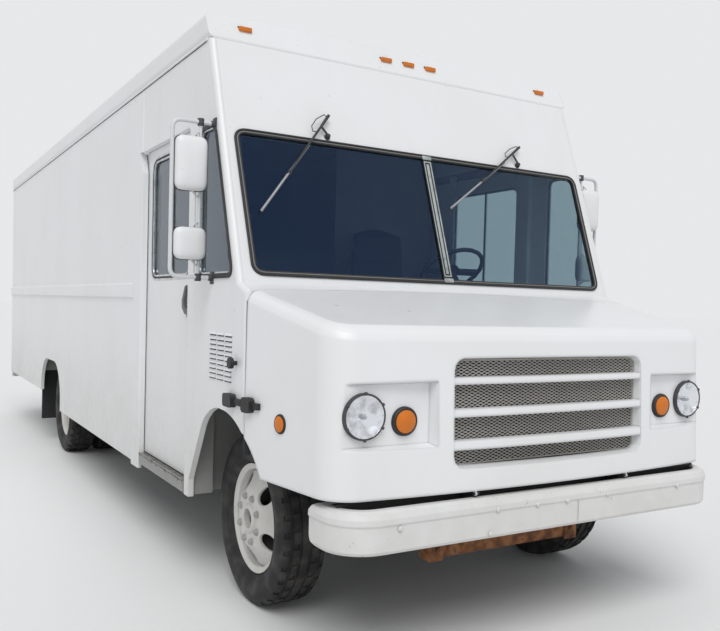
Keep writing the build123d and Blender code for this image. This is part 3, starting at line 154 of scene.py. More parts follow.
class Bench:
    """Node bench of one material, with a Principled shader at its end."""

    def __init__(self, name: str) -> None:
        """Makes an empty material.

        Args:
            name: The material's name.
        """
        self.material = bpy.data.materials.new(name)
        self.material.use_nodes = True
        self.tree = self.material.node_tree
        self.tree.nodes.clear()
        self.shader = self.tree.nodes.new("ShaderNodeBsdfPrincipled")
        output = self.tree.nodes.new("ShaderNodeOutputMaterial")
        self.tree.links.new(self.shader.outputs[0], output.inputs["Surface"])
        self.place = self.add("ShaderNodeTexCoord", {}, {}, "Object")

    def add(self, kind: str, settings: dict[str, Any], sockets: dict[Any, Any], output: Any = 0) -> Wire:
        """Adds one node.

        Args:
            kind: The node's type.
            settings: Properties, which are set before the sockets; stops holds a ramp's stops.
            sockets: Values or wires by the name or number of their socket.
            output: Name or number of the output that is used.

        Returns:
            The output as a wire.
        """
        node = self.tree.nodes.new(kind)
        for key, value in settings.items():
            if key == "stops":
                while len(node.color_ramp.elements) < len(value):
                    node.color_ramp.elements.new(0.5)
                for element, (position, colour) in zip(node.color_ramp.elements, value):
                    element.position = position
                    element.color = (*colour, 1.0)
            else:
                setattr(node, key, value)
        for key, value in sockets.items():
            self.feed(node.inputs[key], value)
        return Wire(self, node.outputs[output])

    def feed(self, socket: Any, value: Any) -> None:
        """Links a wire to a socket, or sets its number or colour.

        Args:
            socket: The input socket.
            value: A wire, a number, a vector or a colour.
        """
        if isinstance(value, Wire):
            self.tree.links.new(value.socket, socket)
        elif socket.type == "RGBA" and len(value) == 3:
            socket.default_value = (*value, 1.0)
        else:
            socket.default_value = value

    def set(self, **values: Any) -> None:
        """Feeds the Principled shader's sockets, with spaces written as underscores.

        Args:
            values: Value or wire for each socket.
        """
        for key, value in values.items():
            self.feed(self.shader.inputs[key.replace("_", " ")], value)

    def noise(self, scale: float, detail: float = 3.0, stretch: Colour = (1.0, 1.0, 1.0)) -> Wire:
        """Noise over the object's own coordinates.

        Args:
            scale: Cells per metre.
            detail: Octaves.
            stretch: Scale along each axis.

        Returns:
            Noise from about 0.2 to 0.8.
        """
        vector = self.add("ShaderNodeMapping", {}, {"Vector": self.place, "Scale": stretch})
        return self.add("ShaderNodeTexNoise", {}, {"Vector": vector, "Scale": scale, "Detail": detail}, "Fac")

    def axis(self, name: str) -> Wire:
        """One of the object's own coordinates, in metres.

        Args:
            name: X, Y or Z.

        Returns:
            The coordinate.
        """
        return self.add("ShaderNodeSeparateXYZ", {}, {"Vector": self.place}, name)

    def mix(self, amount: Any, first: Any, second: Any) -> Wire:
        """Mixes two colours.

        Args:
            amount: Share of the second colour.
            first: Colour or wire at zero.
            second: Colour or wire at one.

        Returns:
            The mixed colour.
        """
        return self.add("ShaderNodeMix", {"data_type": "RGBA"}, {0: amount, 6: first, 7: second}, 2)

    def bump(self, height: Wire, strength: float, distance: float, edge: float = 0.0) -> Wire:
        """Bump from a height, over edges that look rounded.

        Args:
            height: Height wire.
            strength: Bump strength.
            distance: Depth in metres.
            edge: Radius of the rounded look, or zero for none.

        Returns:
            The normal.
        """
        sockets = {"Height": height, "Strength": strength, "Distance": distance}
        if edge:
            sockets["Normal"] = self.add("ShaderNodeBevel", {"samples": 4}, {"Radius": edge})
        return self.add("ShaderNodeBump", {}, sockets)


@dataclass(frozen=True)
class Finish:
    """A finish with a base colour and a gloss, dulled by dust and marks."""

    name: str
    colour: Colour
    roughness: float = 0.5
    metallic: float = 0.0

    def build(self) -> bpy.types.Material:
        """Makes the finish's material."""
        bench = Bench(self.name)
        bench.set(Base_Color=self.colour, Roughness=self.roughness, Metallic=self.metallic)
        self.dress(bench)
        return bench.material

    def darker(self, share: float) -> Colour:
        """The finish's colour, with each channel brought down to a share of itself."""
        return tuple(channel * share for channel in self.colour)

    def dress(self, bench: Bench) -> None:
        """Adds a fine variation of colour and gloss.

        Args:
            bench: The material's bench.
        """
        cloud = bench.noise(9.0, 5.0)
        bench.set(Base_Color=bench.mix(cloud, self.colour, self.darker(0.82)))
        bench.set(Roughness=self.roughness + (cloud - 0.5) * 0.2)
        bench.set(Normal=bench.bump(bench.noise(350.0, 2.0), 0.08, 0.001))


@dataclass(frozen=True)
class BodyPaint(Finish):
    """White body paint or gel coat with road dust low down, faint streaks and small rust specks."""

    dust: float = 0.35
    rust: float = 0.0
    streaks: float = 0.03
    soft_edge: float = 0.005
    dust_colour: Colour = (0.42, 0.38, 0.33)
    rust_colour: Colour = (0.17, 0.06, 0.02)
    warm_tint: Colour = (0.975, 0.97, 0.955)

    def dress(self, bench: Bench) -> None:
        """Adds dust, streaks, specks and the paint's slight ripple.

        Args:
            bench: The material's bench.
        """
        cloud = bench.noise(1.6, 5.0)
        grime = bench.noise(14.0, 6.0)
        streak = bench.noise(7.0, 4.0, (1.0, 1.0, 0.06))
        low = 1.0 - bench.axis("Z").ramp(0.35, 1.35)
        dust = (low * (grime * 0.8 + cloud * 0.6) * self.dust).clamp()
        streak_mask = (streak.ramp(0.52, 0.75) * self.streaks).clamp()
        warm = tuple(channel * tint for channel, tint in zip(self.colour, self.warm_tint))
        paint = bench.mix(cloud.ramp(0.35, 0.7), self.colour, warm)
        dusty = bench.mix((dust + streak_mask).clamp(), paint, self.dust_colour)
        speck = bench.noise(62.0, 2.0).ramp(0.70, 0.76) * bench.noise(4.3, 3.0).ramp(0.50, 0.60)
        marked = bench.mix((speck * self.rust).clamp(), dusty, self.rust_colour)
        bench.set(Base_Color=marked)
        roughness = self.roughness + dust * 0.5 + (grime - 0.5) * 0.12 + speck * self.rust * 0.3
        bench.set(Roughness=roughness.clamp())
        ripple = bench.noise(2.2, 1.0)
        bench.set(Normal=bench.bump(ripple, 0.12, 0.004, self.soft_edge))


@dataclass(frozen=True)
class Glass(Finish):
    """Tinted window glass with a little dust, whose reflection has the blue of a sky."""

    reflection: Colour = (0.22, 0.42, 1.0)

    def dress(self, bench: Bench) -> None:
        """Adds the glass's clearness and its dust.

        Args:
            bench: The material's bench.
        """
        smear = bench.noise(6.0, 4.0)
        bench.set(Transmission_Weight=1.0, IOR=1.45, Specular_Tint=self.reflection)
        bench.set(Roughness=(smear.ramp(0.55, 0.8) * 0.12 + self.roughness).clamp())


@dataclass(frozen=True)
class TyreRubber(Finish):
    """Worn tyre rubber, browner in patches of dust."""

    dust_colour: Colour = (0.10, 0.09, 0.08)

    def dress(self, bench: Bench) -> None:
        """Adds the dust and fine grain.

        Args:
            bench: The material's bench.
        """
        cloud = bench.noise(11.0, 6.0)
        bench.set(Base_Color=bench.mix(cloud.ramp(0.4, 0.75) * 0.5, self.colour, self.dust_colour))
        bench.set(Roughness=self.roughness - (cloud - 0.5) * 0.15)
        bench.set(Normal=bench.bump(bench.noise(160.0, 4.0), 0.25, 0.001))


@dataclass(frozen=True)
class RustySteel(Finish):
    """Steel under rust of several depths."""

    # Places on the rust's colour ramp, with their colours
    stops: Sequence[tuple[float, Colour]] = ((0.3, (0.05, 0.025, 0.015)), (0.5, (0.20, 0.08, 0.03)),
                                             (0.62, (0.34, 0.15, 0.06)), (0.75, (0.12, 0.07, 0.05)))

    def dress(self, bench: Bench) -> None:
        """Adds the rust's colours and its rough surface.

        Args:
            bench: The material's bench.
        """
        patch = bench.noise(18.0, 8.0)
        bench.set(Base_Color=bench.add("ShaderNodeValToRGB", {"stops": self.stops}, {"Fac": patch}, "Color"))
        bench.set(Roughness=self.roughness + patch * 0.15)
        bench.set(Normal=bench.bump(patch + bench.noise(120.0, 4.0) * 0.4, 0.5, 0.003))


@dataclass(frozen=True)
class LampLens(Finish):
    """Coloured lens with moulded ribs."""

    ribs: float = 90.0

    def dress(self, bench: Bench) -> None:
        """Adds the ribs and a slightly uneven colour.

        Args:
            bench: The material's bench.
        """
        sockets = {"Vector": bench.place, "Scale": self.ribs}
        wave = bench.add("ShaderNodeTexWave", {"bands_direction": "X"}, sockets)
        rim = bench.noise(30.0, 3.0)
        bench.set(Base_Color=bench.mix(rim, self.colour, self.darker(0.7)))
        bench.set(Coat_Weight=0.12, Coat_Roughness=0.08, Roughness=self.roughness)
        bench.set(Normal=bench.bump(wave, 0.3, 0.001))


@dataclass(frozen=True)
class BrightTrim(Finish):
    """Bright aluminium trim, dulled in fine lengthwise scratches."""

    def dress(self, bench: Bench) -> None:
        """Adds the scratches and a little grime.

        Args:
            bench: The material's bench.
        """
        grime = bench.noise(24.0, 4.0)
        scratch = bench.noise(60.0, 2.0, (1.0, 1.0, 12.0))
        bench.set(Base_Color=bench.mix(grime.ramp(0.45, 0.75), self.colour, self.darker(0.6)))
        bench.set(Roughness=(self.roughness + (scratch - 0.5) * 0.3).clamp())


@dataclass(frozen=True)
class Perforated(Finish):
    """Worn plate with rows of punched holes along a step's edge; the holes' near-black colour is painted
    shade seen through them.
    """

    pitch: float = 0.026
    hole: float = 0.0075
    # Near-black colour of the holes: painted shade where the plate is open
    hole_shade_colour: Colour = (0.012, 0.011, 0.010)

    def dress(self, bench: Bench) -> None:
        """Adds the holes' painted shade, their slight dent and the worn paint.

        Args:
            bench: The material's bench.
        """
        across = (bench.axis("Y") / self.pitch).from_nearest() * self.pitch
        up = (bench.axis("Z") / self.pitch).from_nearest() * self.pitch
        reach = (across * across + up * up) ** 0.5
        hole = 1.0 - reach.ramp(self.hole * 0.9, self.hole * 1.1)
        wear = bench.noise(35.0, 5.0).ramp(0.45, 0.65)
        plate = bench.mix(wear, self.colour, self.darker(0.45))
        # The holes are coloured near-black: painted shade seen through the open plate
        bench.set(Base_Color=bench.mix(hole, plate, self.hole_shade_colour))
        bench.set(Roughness=self.roughness + wear * 0.2)
        bench.set(Normal=bench.bump(1.0 - hole, 0.6, 0.002))


MIXED: dict[str, bpy.types.Material] = {}


class Coat(Enum):
    """The van's finishes; those that share a record slot's name dress the CAD nodes too."""

    WHITE = BodyPaint("white_paint", (0.80, 0.81, 0.82), 0.32, rust=0.4)
    GEL = BodyPaint("moulded_white", (0.82, 0.83, 0.84), 0.30, dust=0.15, streaks=0.0, soft_edge=0.02)
    BUMPER = BodyPaint("bumper_paint", (0.78, 0.785, 0.785), 0.38, dust=0.4, rust=1.0)
    FRAME = Finish("frame_black", (0.028, 0.027, 0.026), 0.62)
    RUST = RustySteel("rusty_steel", (0.2, 0.1, 0.05), 0.8)
    WHEEL = BodyPaint("wheel_paint", (0.74, 0.74, 0.72), 0.4, dust=0.5, rust=0.6)
    TYRE = TyreRubber("tyre", (0.013, 0.013, 0.0145), 0.75)
    GLASS = Glass("glass", (0.46, 0.56, 0.60), 0.01)
    RUBBER = Finish("black_rubber", (0.022, 0.022, 0.023), 0.6)
    LENS = LampLens("lamp_glass", (0.75, 0.77, 0.80), 0.1)
    AMBER = LampLens("amber_plastic", (0.74, 0.19, 0.002), 0.5)
    RED = LampLens("red_plastic", (0.45, 0.01, 0.012), 0.18)
    FLOOR = Finish("floor_metal", (0.34, 0.34, 0.33), 0.6, 0.1)
    CAB = Finish("cab_plastic", (0.055, 0.056, 0.06), 0.6)
    VINYL = Finish("seat_vinyl", (0.03, 0.03, 0.033), 0.45)
    METAL = Finish("black_metal", (0.045, 0.045, 0.045), 0.45, 0.3)
    ALLOY = BrightTrim("bright_trim", (0.66, 0.67, 0.68), 0.30, 0.9)
    LEVER = Finish("grey_casting", (0.13, 0.135, 0.14), 0.45, 0.3)
    MESH = Finish("grille_wire", (0.60, 0.58, 0.54), 0.55)
    BOWL = BrightTrim("reflector", (0.88, 0.89, 0.90), 0.08, 1.0)
    SILVER = BrightTrim("mirror_glass", (0.90, 0.91, 0.92), 0.02, 1.0)
    STEP = Perforated("step_plate", (0.36, 0.35, 0.33), 0.55)
    # Near-black for the hood's seam, and painted shade in the louvre openings and under the drip rails
    SEAM = Finish("dark_seam", (0.03, 0.03, 0.032), 0.8)
    HUB = Finish("hub_steel", (0.045, 0.04, 0.037), 0.6, 0.3)
    NUT = Finish("nut_steel", (0.46, 0.45, 0.43), 0.5)
    CLEAR = Glass("clear_lens", (0.97, 0.98, 1.0), 0.0, reflection=(0.9, 0.95, 1.0))
    BEAD = Finish("seal_bead", (0.24, 0.235, 0.22), 0.5)
    DIVIDER = BrightTrim("divider_strip", (0.42, 0.46, 0.45), 0.40, 0.5)
    BLADE = Finish("wiper_blade", (0.36, 0.37, 0.39), 0.45, 0.2)
    ARM = BodyPaint("mirror_tube", (0.68, 0.69, 0.71), 0.35, dust=0.1, rust=0.5)
    CLAMP = Finish("mirror_clamp", (0.07, 0.07, 0.075), 0.55, 0.3)

    def material(self) -> bpy.types.Material:
        """Gives the finish's material, which is made once."""
        if self.name not in MIXED:
            MIXED[self.name] = self.value.build()
        return MIXED[self.name]


def facing(place: Point, direction: Point) -> Matrix:
    """Frame at a place whose Z axis points along a direction.

    Args:
        place: The frame's origin.
        direction: Where its Z axis points.

    Returns:
        The frame's matrix.
    """
    return Matrix.Translation(place) @ Vector(direction).to_track_quat("Z", "Y").to_matrix().to_4x4()


def round_axis(count: int, first: float = 0.0) -> list[Matrix]:
    """Turns spread evenly round the Z axis.

    Args:
        count: How many there are.
        first: Angle of the first one, in degrees.

    Returns:
        The turns' matrices.
    """
    return [Matrix.Rotation(math.radians(first + 360 * number / count), 4, "Z") for number in range(count)]


def sided(side: int, place: Point) -> Point:
    """Place on the left, carried to a side: -1 for the right, 1 for the left."""
    return (side * place[0], *place[1:])


def looks_forward(centre: Vector, normal: Vector) -> bool:
    """Whether a face looks to the van's front."""
    return normal.y < -0.5


def rounded(corners: Sequence[Point], radius: float, steps: int = 5) -> list[Vector]:
    """Closed outline with its corners rounded.

    Args:
        corners: The outline's corners, in order.
        radius: How far from each corner the rounding starts.
        steps: Flats in each corner.

    Returns:
        The outline's points.
    """
    points = []
    for count, corner in enumerate(corners):
        corner = Vector(corner)
        before = corner + (Vector(corners[count - 1]) - corner).normalized() * radius
        after = corner + (Vector(corners[(count + 1) % len(corners)]) - corner).normalized() * radius
        for step in range(steps + 1):
            share = step / steps
            points.append(before.lerp(corner, share).lerp(corner.lerp(after, share), share))
    return points


def grown(corners: Sequence[Point], amount: float) -> list[tuple[float, float]]:
    """Flat outline with each side moved outward.

    Args:
        corners: Corners in turning order, as pairs.
        amount: How far the sides move; less than zero moves them inward.

    Returns:
        The moved corners.
    """
    spots = [Vector(corner) for corner in corners]
    area = sum(a.x * b.y - b.x * a.y for a, b in zip(spots, spots[1:] + spots[:1]))
    turn = 1 if area > 0 else -1
    result = []
    for count, spot in enumerate(spots):
        first = (spot - spots[count - 1]).normalized()
        second = (spots[(count + 1) % len(spots)] - spot).normalized()
        out_first, out_second = Vector((first.y, -first.x)) * turn, Vector((second.y, -second.x)) * turn
        moved = spot + (out_first + out_second) * (amount / (1 + out_first.dot(out_second)))
        result.append((moved.x, moved.y))
    return result


MERGE_DISTANCE = 0.00002
ORIGIN = Matrix.Identity(4)


class Piece:
    """A mesh object that is shaped by Blender's own operators and then set on a body of the van."""

    def __init__(self, thing: bpy.types.Object) -> None:
        """Takes hold of an object.

        Args:
            thing: The mesh object.
        """
        self.thing = thing

    @staticmethod
    def rest() -> None:
        """Leaves edit mode and deselects everything."""
        if bpy.context.object is not None and bpy.context.object.mode != "OBJECT":
            bpy.ops.object.mode_set(mode="OBJECT")
        bpy.ops.object.select_all(action="DESELECT")

    @classmethod
    def taken(cls) -> "Piece":
        """Takes hold of the primitive just added, with its place applied to its mesh."""
        bpy.ops.object.transform_apply(location=True, rotation=True, scale=True)
        return cls(bpy.context.object)

    @classmethod
    def box(cls, low: Point, high: Point) -> "Piece":
        """Box between two corners.

        Args:
            low: One corner.
            high: The opposite corner.

        Returns:
            The box.
        """
        cls.rest()
        middle = [(a + b) / 2 for a, b in zip(low, high)]
        size = [abs(b - a) for a, b in zip(low, high)]
        bpy.ops.mesh.primitive_cube_add(size=1, location=middle, scale=size)
        return cls.taken()

    @classmethod
    def rod(cls, start: Point, end: Point, radius: float, tip: float | None = None,
            sides: int = 20) -> "Piece":
        """Round rod or cone between two points.

        Args:
            start: Middle of its first end.
            end: Middle of its other end.
            radius: Radius at the start.
            tip: Radius at the end, or None for the same.
            sides: Flats round it.

        Returns:
            The rod.
        """
        cls.rest()
        run = Vector(end) - Vector(start)
        bpy.ops.mesh.primitive_cone_add(
            vertices=sides, radius1=radius, radius2=radius if tip is None else tip, depth=run.length,
            location=(Vector(start) + Vector(end)) / 2, rotation=run.to_track_quat("Z", "Y").to_euler())
        return cls.taken()

    @classmethod
    def drawn(cls, points: Sequence[Point], face: bool = False) -> "Piece":
        """Chain of edges through points, or the face inside them.

        Args:
            points: The places, in order.
            face: Whether the chain is closed and filled.

        Returns:
            The chain or face.
        """
        cls.rest()
        bpy.ops.mesh.primitive_plane_add(size=0.001, location=points[0])
        piece = cls.taken()
        bpy.ops.object.mode_set(mode="EDIT")
        bpy.ops.mesh.select_mode(type="VERT")
        bpy.ops.mesh.select_all(action="SELECT")
        bpy.ops.mesh.merge(type="CENTER")
        for before, after in zip(points, points[1:]):
            step = Vector(after) - Vector(before)
            bpy.ops.mesh.extrude_vertices_move(TRANSFORM_OT_translate={"value": step})
        if face:
            bpy.ops.mesh.select_all(action="SELECT")
            bpy.ops.mesh.edge_face_add()
        return piece

    @classmethod
    def lathe(cls, profile: Sequence[Point], matrix: Matrix = ORIGIN, steps: int = 64) -> "Piece":
        """Shape turned about the Z axis of a frame.

        Args:
            profile: (radius, height) points.
            matrix: The frame.
            steps: Flats round it.

        Returns:
            The turned shape.
        """
        piece = cls.drawn([(radius, 0.0, height) for radius, height in profile])
        bpy.ops.mesh.select_all(action="SELECT")
        bpy.ops.mesh.spin(steps=steps, angle=math.tau, center=(0, 0, 0), axis=(0, 0, 1))
        return piece.cleaned().moved(matrix)

    @classmethod
    def tube(cls, points: Sequence[Point], radius: float, closed: bool = False, sides: int = 3) -> "Piece":
        """Round tube along points.

        Args:
            points: The tube's middle line.
            radius: Its radius.
            closed: Whether it is a loop.
            sides: Detail of its section.

        Returns:
            The tube.
        """
        cls.rest()
        curve = bpy.data.curves.new("line", "CURVE")
        curve.dimensions = "3D"
        curve.bevel_depth = radius
        curve.bevel_resolution = sides
        curve.use_fill_caps = True
        line = curve.splines.new("POLY")
        line.points.add(len(points) - 1)
        for spot, place in zip(line.points, points):
            spot.co = (*place, 1.0)
        line.use_cyclic_u = closed
        thing = bpy.data.objects.new("line", curve)
        bpy.context.scene.collection.objects.link(thing)
        thing.select_set(True)
        bpy.context.view_layer.objects.active = thing
        bpy.ops.object.convert(target="MESH")
        return cls(bpy.context.object)

    @classmethod
    def joined(cls, pieces: Iterable["Piece"]) -> "Piece":
        """One object from several.

        Args:
            pieces: The pieces to join.

        Returns:
            The joined piece.
        """
        group = list(pieces)
        cls.rest()
        for piece in group:
            piece.thing.select_set(True)
        bpy.context.view_layer.objects.active = group[0].thing
        bpy.ops.object.join()
        return cls(bpy.context.object)

    @classmethod
    def ring_of(cls, outline: Sequence[Point], width: float, depth: Point, soft: float = 0.001) -> "Piece":
        """Frame inside a closed outline, given a depth and soft edges.

        Args:
            outline: The frame's outer line.
            width: How far it reaches inward.
            depth: Its thickness, as a vector.
            soft: Width of its edges' rounding.

        Returns:
            The frame.
        """
        piece = cls.drawn(outline, True)
        bpy.ops.mesh.select_mode(type="FACE")
        bpy.ops.mesh.select_all(action="SELECT")
        bpy.ops.mesh.inset(thickness=width)
        bpy.ops.mesh.delete(type="FACE")
        return piece.pushed(depth).soften(soft)

    @classmethod
    def pillow(cls, low: Point, high: Point, roundness: float, cuts: int = 12) -> "Piece":
        """Box with crowned faces and rounded corners that fills a space.

        Args:
            low: The space's low corner.
            high: Its high corner.
            roundness: From 0 for a box to 1 for an egg.
            cuts: Cuts along each edge.

        Returns:
            The crowned box.
        """
        piece = cls.box((-1, -1, -1), (1, 1, 1))
        bpy.ops.object.mode_set(mode="EDIT")
        bpy.ops.mesh.select_all(action="SELECT")
        bpy.ops.mesh.subdivide(number_cuts=cuts)
        middle = (Vector(low) + Vector(high)) / 2
        half = (Vector(high) - Vector(low)) / 2

        def swell(spot: Vector) -> Vector:
            egg = spot.normalized() * 1.2
            grown_spot = spot.lerp(egg, roundness)
            edge = 1 - roundness + roundness * 1.2
            return middle + Vector(h * g / edge for h, g in zip(half, grown_spot))

        return piece.shaped(swell)

    def active(self) -> "Piece":
        """Makes this the one selected object."""
        self.rest()
        self.thing.select_set(True)
        bpy.context.view_layer.objects.active = self.thing
        return self

    def opened(self) -> "Piece":
        """Makes this the one selected object and enters edit mode."""
        self.active()
        bpy.ops.object.mode_set(mode="EDIT")
        return self

    def cleaned(self) -> "Piece":
        """Merges doubled vertices and turns the faces outward, in edit mode."""
        bpy.ops.mesh.select_all(action="SELECT")
        bpy.ops.mesh.remove_doubles(threshold=MERGE_DISTANCE)
        bpy.ops.mesh.normals_make_consistent(inside=False)
        return self

    def pick(self, test: Callable[[Vector, Vector], bool]) -> "Piece":
        """Selects the faces that a test allows, in edit mode.

        Args:
            test: Takes a face's centre and normal.

        Returns:
            The piece.
        """
        self.opened()
        bpy.ops.mesh.select_mode(type="FACE")
        bpy.ops.mesh.select_all(action="DESELECT")
        form = bmesh.from_edit_mesh(self.thing.data)
        for flat in form.faces:
            flat.select_set(test(flat.calc_center_median(), flat.normal))
        bmesh.update_edit_mesh(self.thing.data)
        return self

    def inset(self, width: float, depth: float = 0.0, each: bool = False) -> "Piece":
        """Insets the selected faces and sinks or lifts what is inside.

        Args:
            width: Width of the border.
            depth: Lift along the normal.
            each: Whether every face is inset by itself.

        Returns:
            The piece.
        """
        bpy.ops.mesh.inset(thickness=width, depth=depth, use_individual=each)
        return self

    def pushed(self, step: Point) -> "Piece":
        """Extrudes all the faces of the piece in edit mode.

        Args:
            step: The extrusion.

        Returns:
            The piece.
        """
        bpy.ops.mesh.select_all(action="SELECT")
        bpy.ops.mesh.extrude_region_move(TRANSFORM_OT_translate={"value": Vector(step)})
        return self

    def drawn_out(self, step: Point, factor: Point, centre: Point) -> "Piece":
        """Extrudes the selected faces and scales their far end.

        Args:
            step: The extrusion.
            factor: Scale of the far end along each axis.
            centre: Place that the scaling leaves where it is.

        Returns:
            The piece.
        """
        bpy.ops.mesh.extrude_region_move(TRANSFORM_OT_translate={"value": step})
        bpy.ops.transform.resize(value=factor, center_override=centre)
        return self

    def modify(self, kind: str, **settings: Any) -> "Piece":
        """Adds a modifier and applies it.

        Args:
            kind: The modifier's type.
            settings: Its properties.

        Returns:
            The piece.
        """
        self.active()
        modifier = self.thing.modifiers.new("step", kind)
        for key, value in settings.items():
            setattr(modifier, key, value)
        bpy.ops.object.modifier_apply(modifier=modifier.name)
        return self

    def soften(self, width: float, segments: int = 2, angle: float = 35.0) -> "Piece":
        """Rounds the sharp edges.

        Args:
            width: Width of the rounding.
            segments: Flats in it.
            angle: Edges sharper than this are rounded, in degrees.

        Returns:
            The piece.
        """
        return self.modify("BEVEL", width=width, segments=segments, limit_method="ANGLE",
                           angle_limit=math.radians(angle))

    def cut(self, tool: "Piece") -> "Piece":
        """Cuts another piece's space out of this one.

        Args:
            tool: The cutting piece, which is removed.

        Returns:
            The piece.
        """
        self.modify("BOOLEAN", operation="DIFFERENCE", object=tool.thing, solver="EXACT")
        bpy.data.objects.remove(tool.thing)
        return self

    def shaped(self, rule: Callable[[Vector], Point]) -> "Piece":
        """Moves every vertex by a rule.

        Args:
            rule: Takes a vertex's place and gives its new place.

        Returns:
            The piece.
        """
        self.opened()
        form = bmesh.from_edit_mesh(self.thing.data)
        for vertex in form.verts:
            vertex.co = rule(vertex.co)
        bmesh.update_edit_mesh(self.thing.data)
        return self

    def moved(self, matrix: Matrix) -> "Piece":
        """Moves the mesh, with the object left at the origin.

        Args:
            matrix: The move.

        Returns:
            The piece.
        """
        self.active()
        self.thing.data.transform(matrix)
        if matrix.determinant() < 0:
            self.thing.data.flip_normals()
        return self

    def copied(self, matrix: Matrix) -> "Piece":
        """Copy with its own mesh, moved.

        Args:
            matrix: The move.

        Returns:
            The copy.
        """
        self.rest()
        twin = self.thing.copy()
        twin.data = self.thing.data.copy()
        bpy.context.scene.collection.objects.link(twin)
        return Piece(twin).moved(matrix)

    def repeated(self, matrices: Iterable[Matrix]) -> "Piece":
        """Joined copies of this piece, one for each move, in its place.

        Args:
            matrices: The moves.

        Returns:
            The joined copies.
        """
        copies = [self.copied(matrix) for matrix in matrices]
        bpy.data.objects.remove(self.thing)
        return self.joined(copies)

    def both_sides(self) -> "Piece":
        """This piece joined with its mirror image across the van."""
        return self.joined([self, self.copied(Matrix.Scale(-1, 4, (1, 0, 0)))])

    def fit(self, name: str, body: str, coat: Coat, replaces: Sequence[str] = (),
            smooth: float = 35.0) -> "Piece":
        """Finishes the piece and sets it on a body.

        Args:
            name: The piece's name.
            body: The body that it rides on.
            coat: Its finish.
            replaces: CAD nodes that it stands for.
            smooth: Edges sharper than this stay sharp, in degrees.

        Returns:
            The piece.
        """
        self.opened().cleaned()
        bpy.ops.object.mode_set(mode="OBJECT")
        bpy.ops.object.shade_smooth_by_angle(angle=math.radians(smooth))
        self.thing.name = self.thing.data.name = name
        self.thing.data.materials.clear()
        self.thing.data.materials.append(coat.material())
        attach(self.thing, body)
        if replaces:
            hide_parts(*replaces)
        log.info("%s on %s, %d faces", name, body, len(self.thing.data.polygons))
        return self


SIDES = (("right", -1), ("left", 1))
HALF_WIDTH = 1.184
WHEEL_RADIUS = 0.417
FRONT_WHEEL = (0.895, -3.153)
REAR_WHEELS = ((0.952, 1.367), (0.673, 1.367))
# Y and Z of the raked front's lower and upper ends
RAKE_FOOT, RAKE_TOP = (-3.388, 1.570), (-2.953, 2.775)
RAKE_NORMAL = Vector((0, -0.9406, 0.3396))
# X, Y and Z of the low front end of the hood's left side, which widens to the back by the taper
HOOD_NOSE = (1.092, -4.168, 0.722)
HOOD_TAPER = 0.1375
HOOD_LEAN_COS, HOOD_LEAN_SIN = 0.99905, 0.04353


def wheel_frame(place: Point, side: float, out: float) -> Matrix:
    """Frame at a wheel's middle whose Z axis points out of the wheel's face.

    Args:
        place: The wheel's X and Y on the left side.
        side: -1 for the right, 1 for the left.
        out: -1 if the face looks right, 1 if it looks left.

    Returns:
        The frame's matrix.
    """
    return facing((side * place[0], place[1], WHEEL_RADIUS), (out, 0, 0))


def hood_side_x(y: float, z: float) -> float:
    """Half width of the hood at a place on its side."""
    nose_x, nose_y, nose_z = HOOD_NOSE
    return nose_x + HOOD_TAPER * ((y - nose_y) * HOOD_LEAN_COS - (z - nose_z) * HOOD_LEAN_SIN)


def hood_side_normal() -> Vector:
    """Outward normal of the hood's left side."""
    return Vector((1.0, -HOOD_TAPER * HOOD_LEAN_COS, HOOD_TAPER * HOOD_LEAN_SIN)).normalized()


def rake_y(z: float) -> float:
    """Y place of the raked front at a height."""
    (foot_y, foot_z), (top_y, top_z) = RAKE_FOOT, RAKE_TOP
    return foot_y + (z - foot_z) * (top_y - foot_y) / (top_z - foot_z)


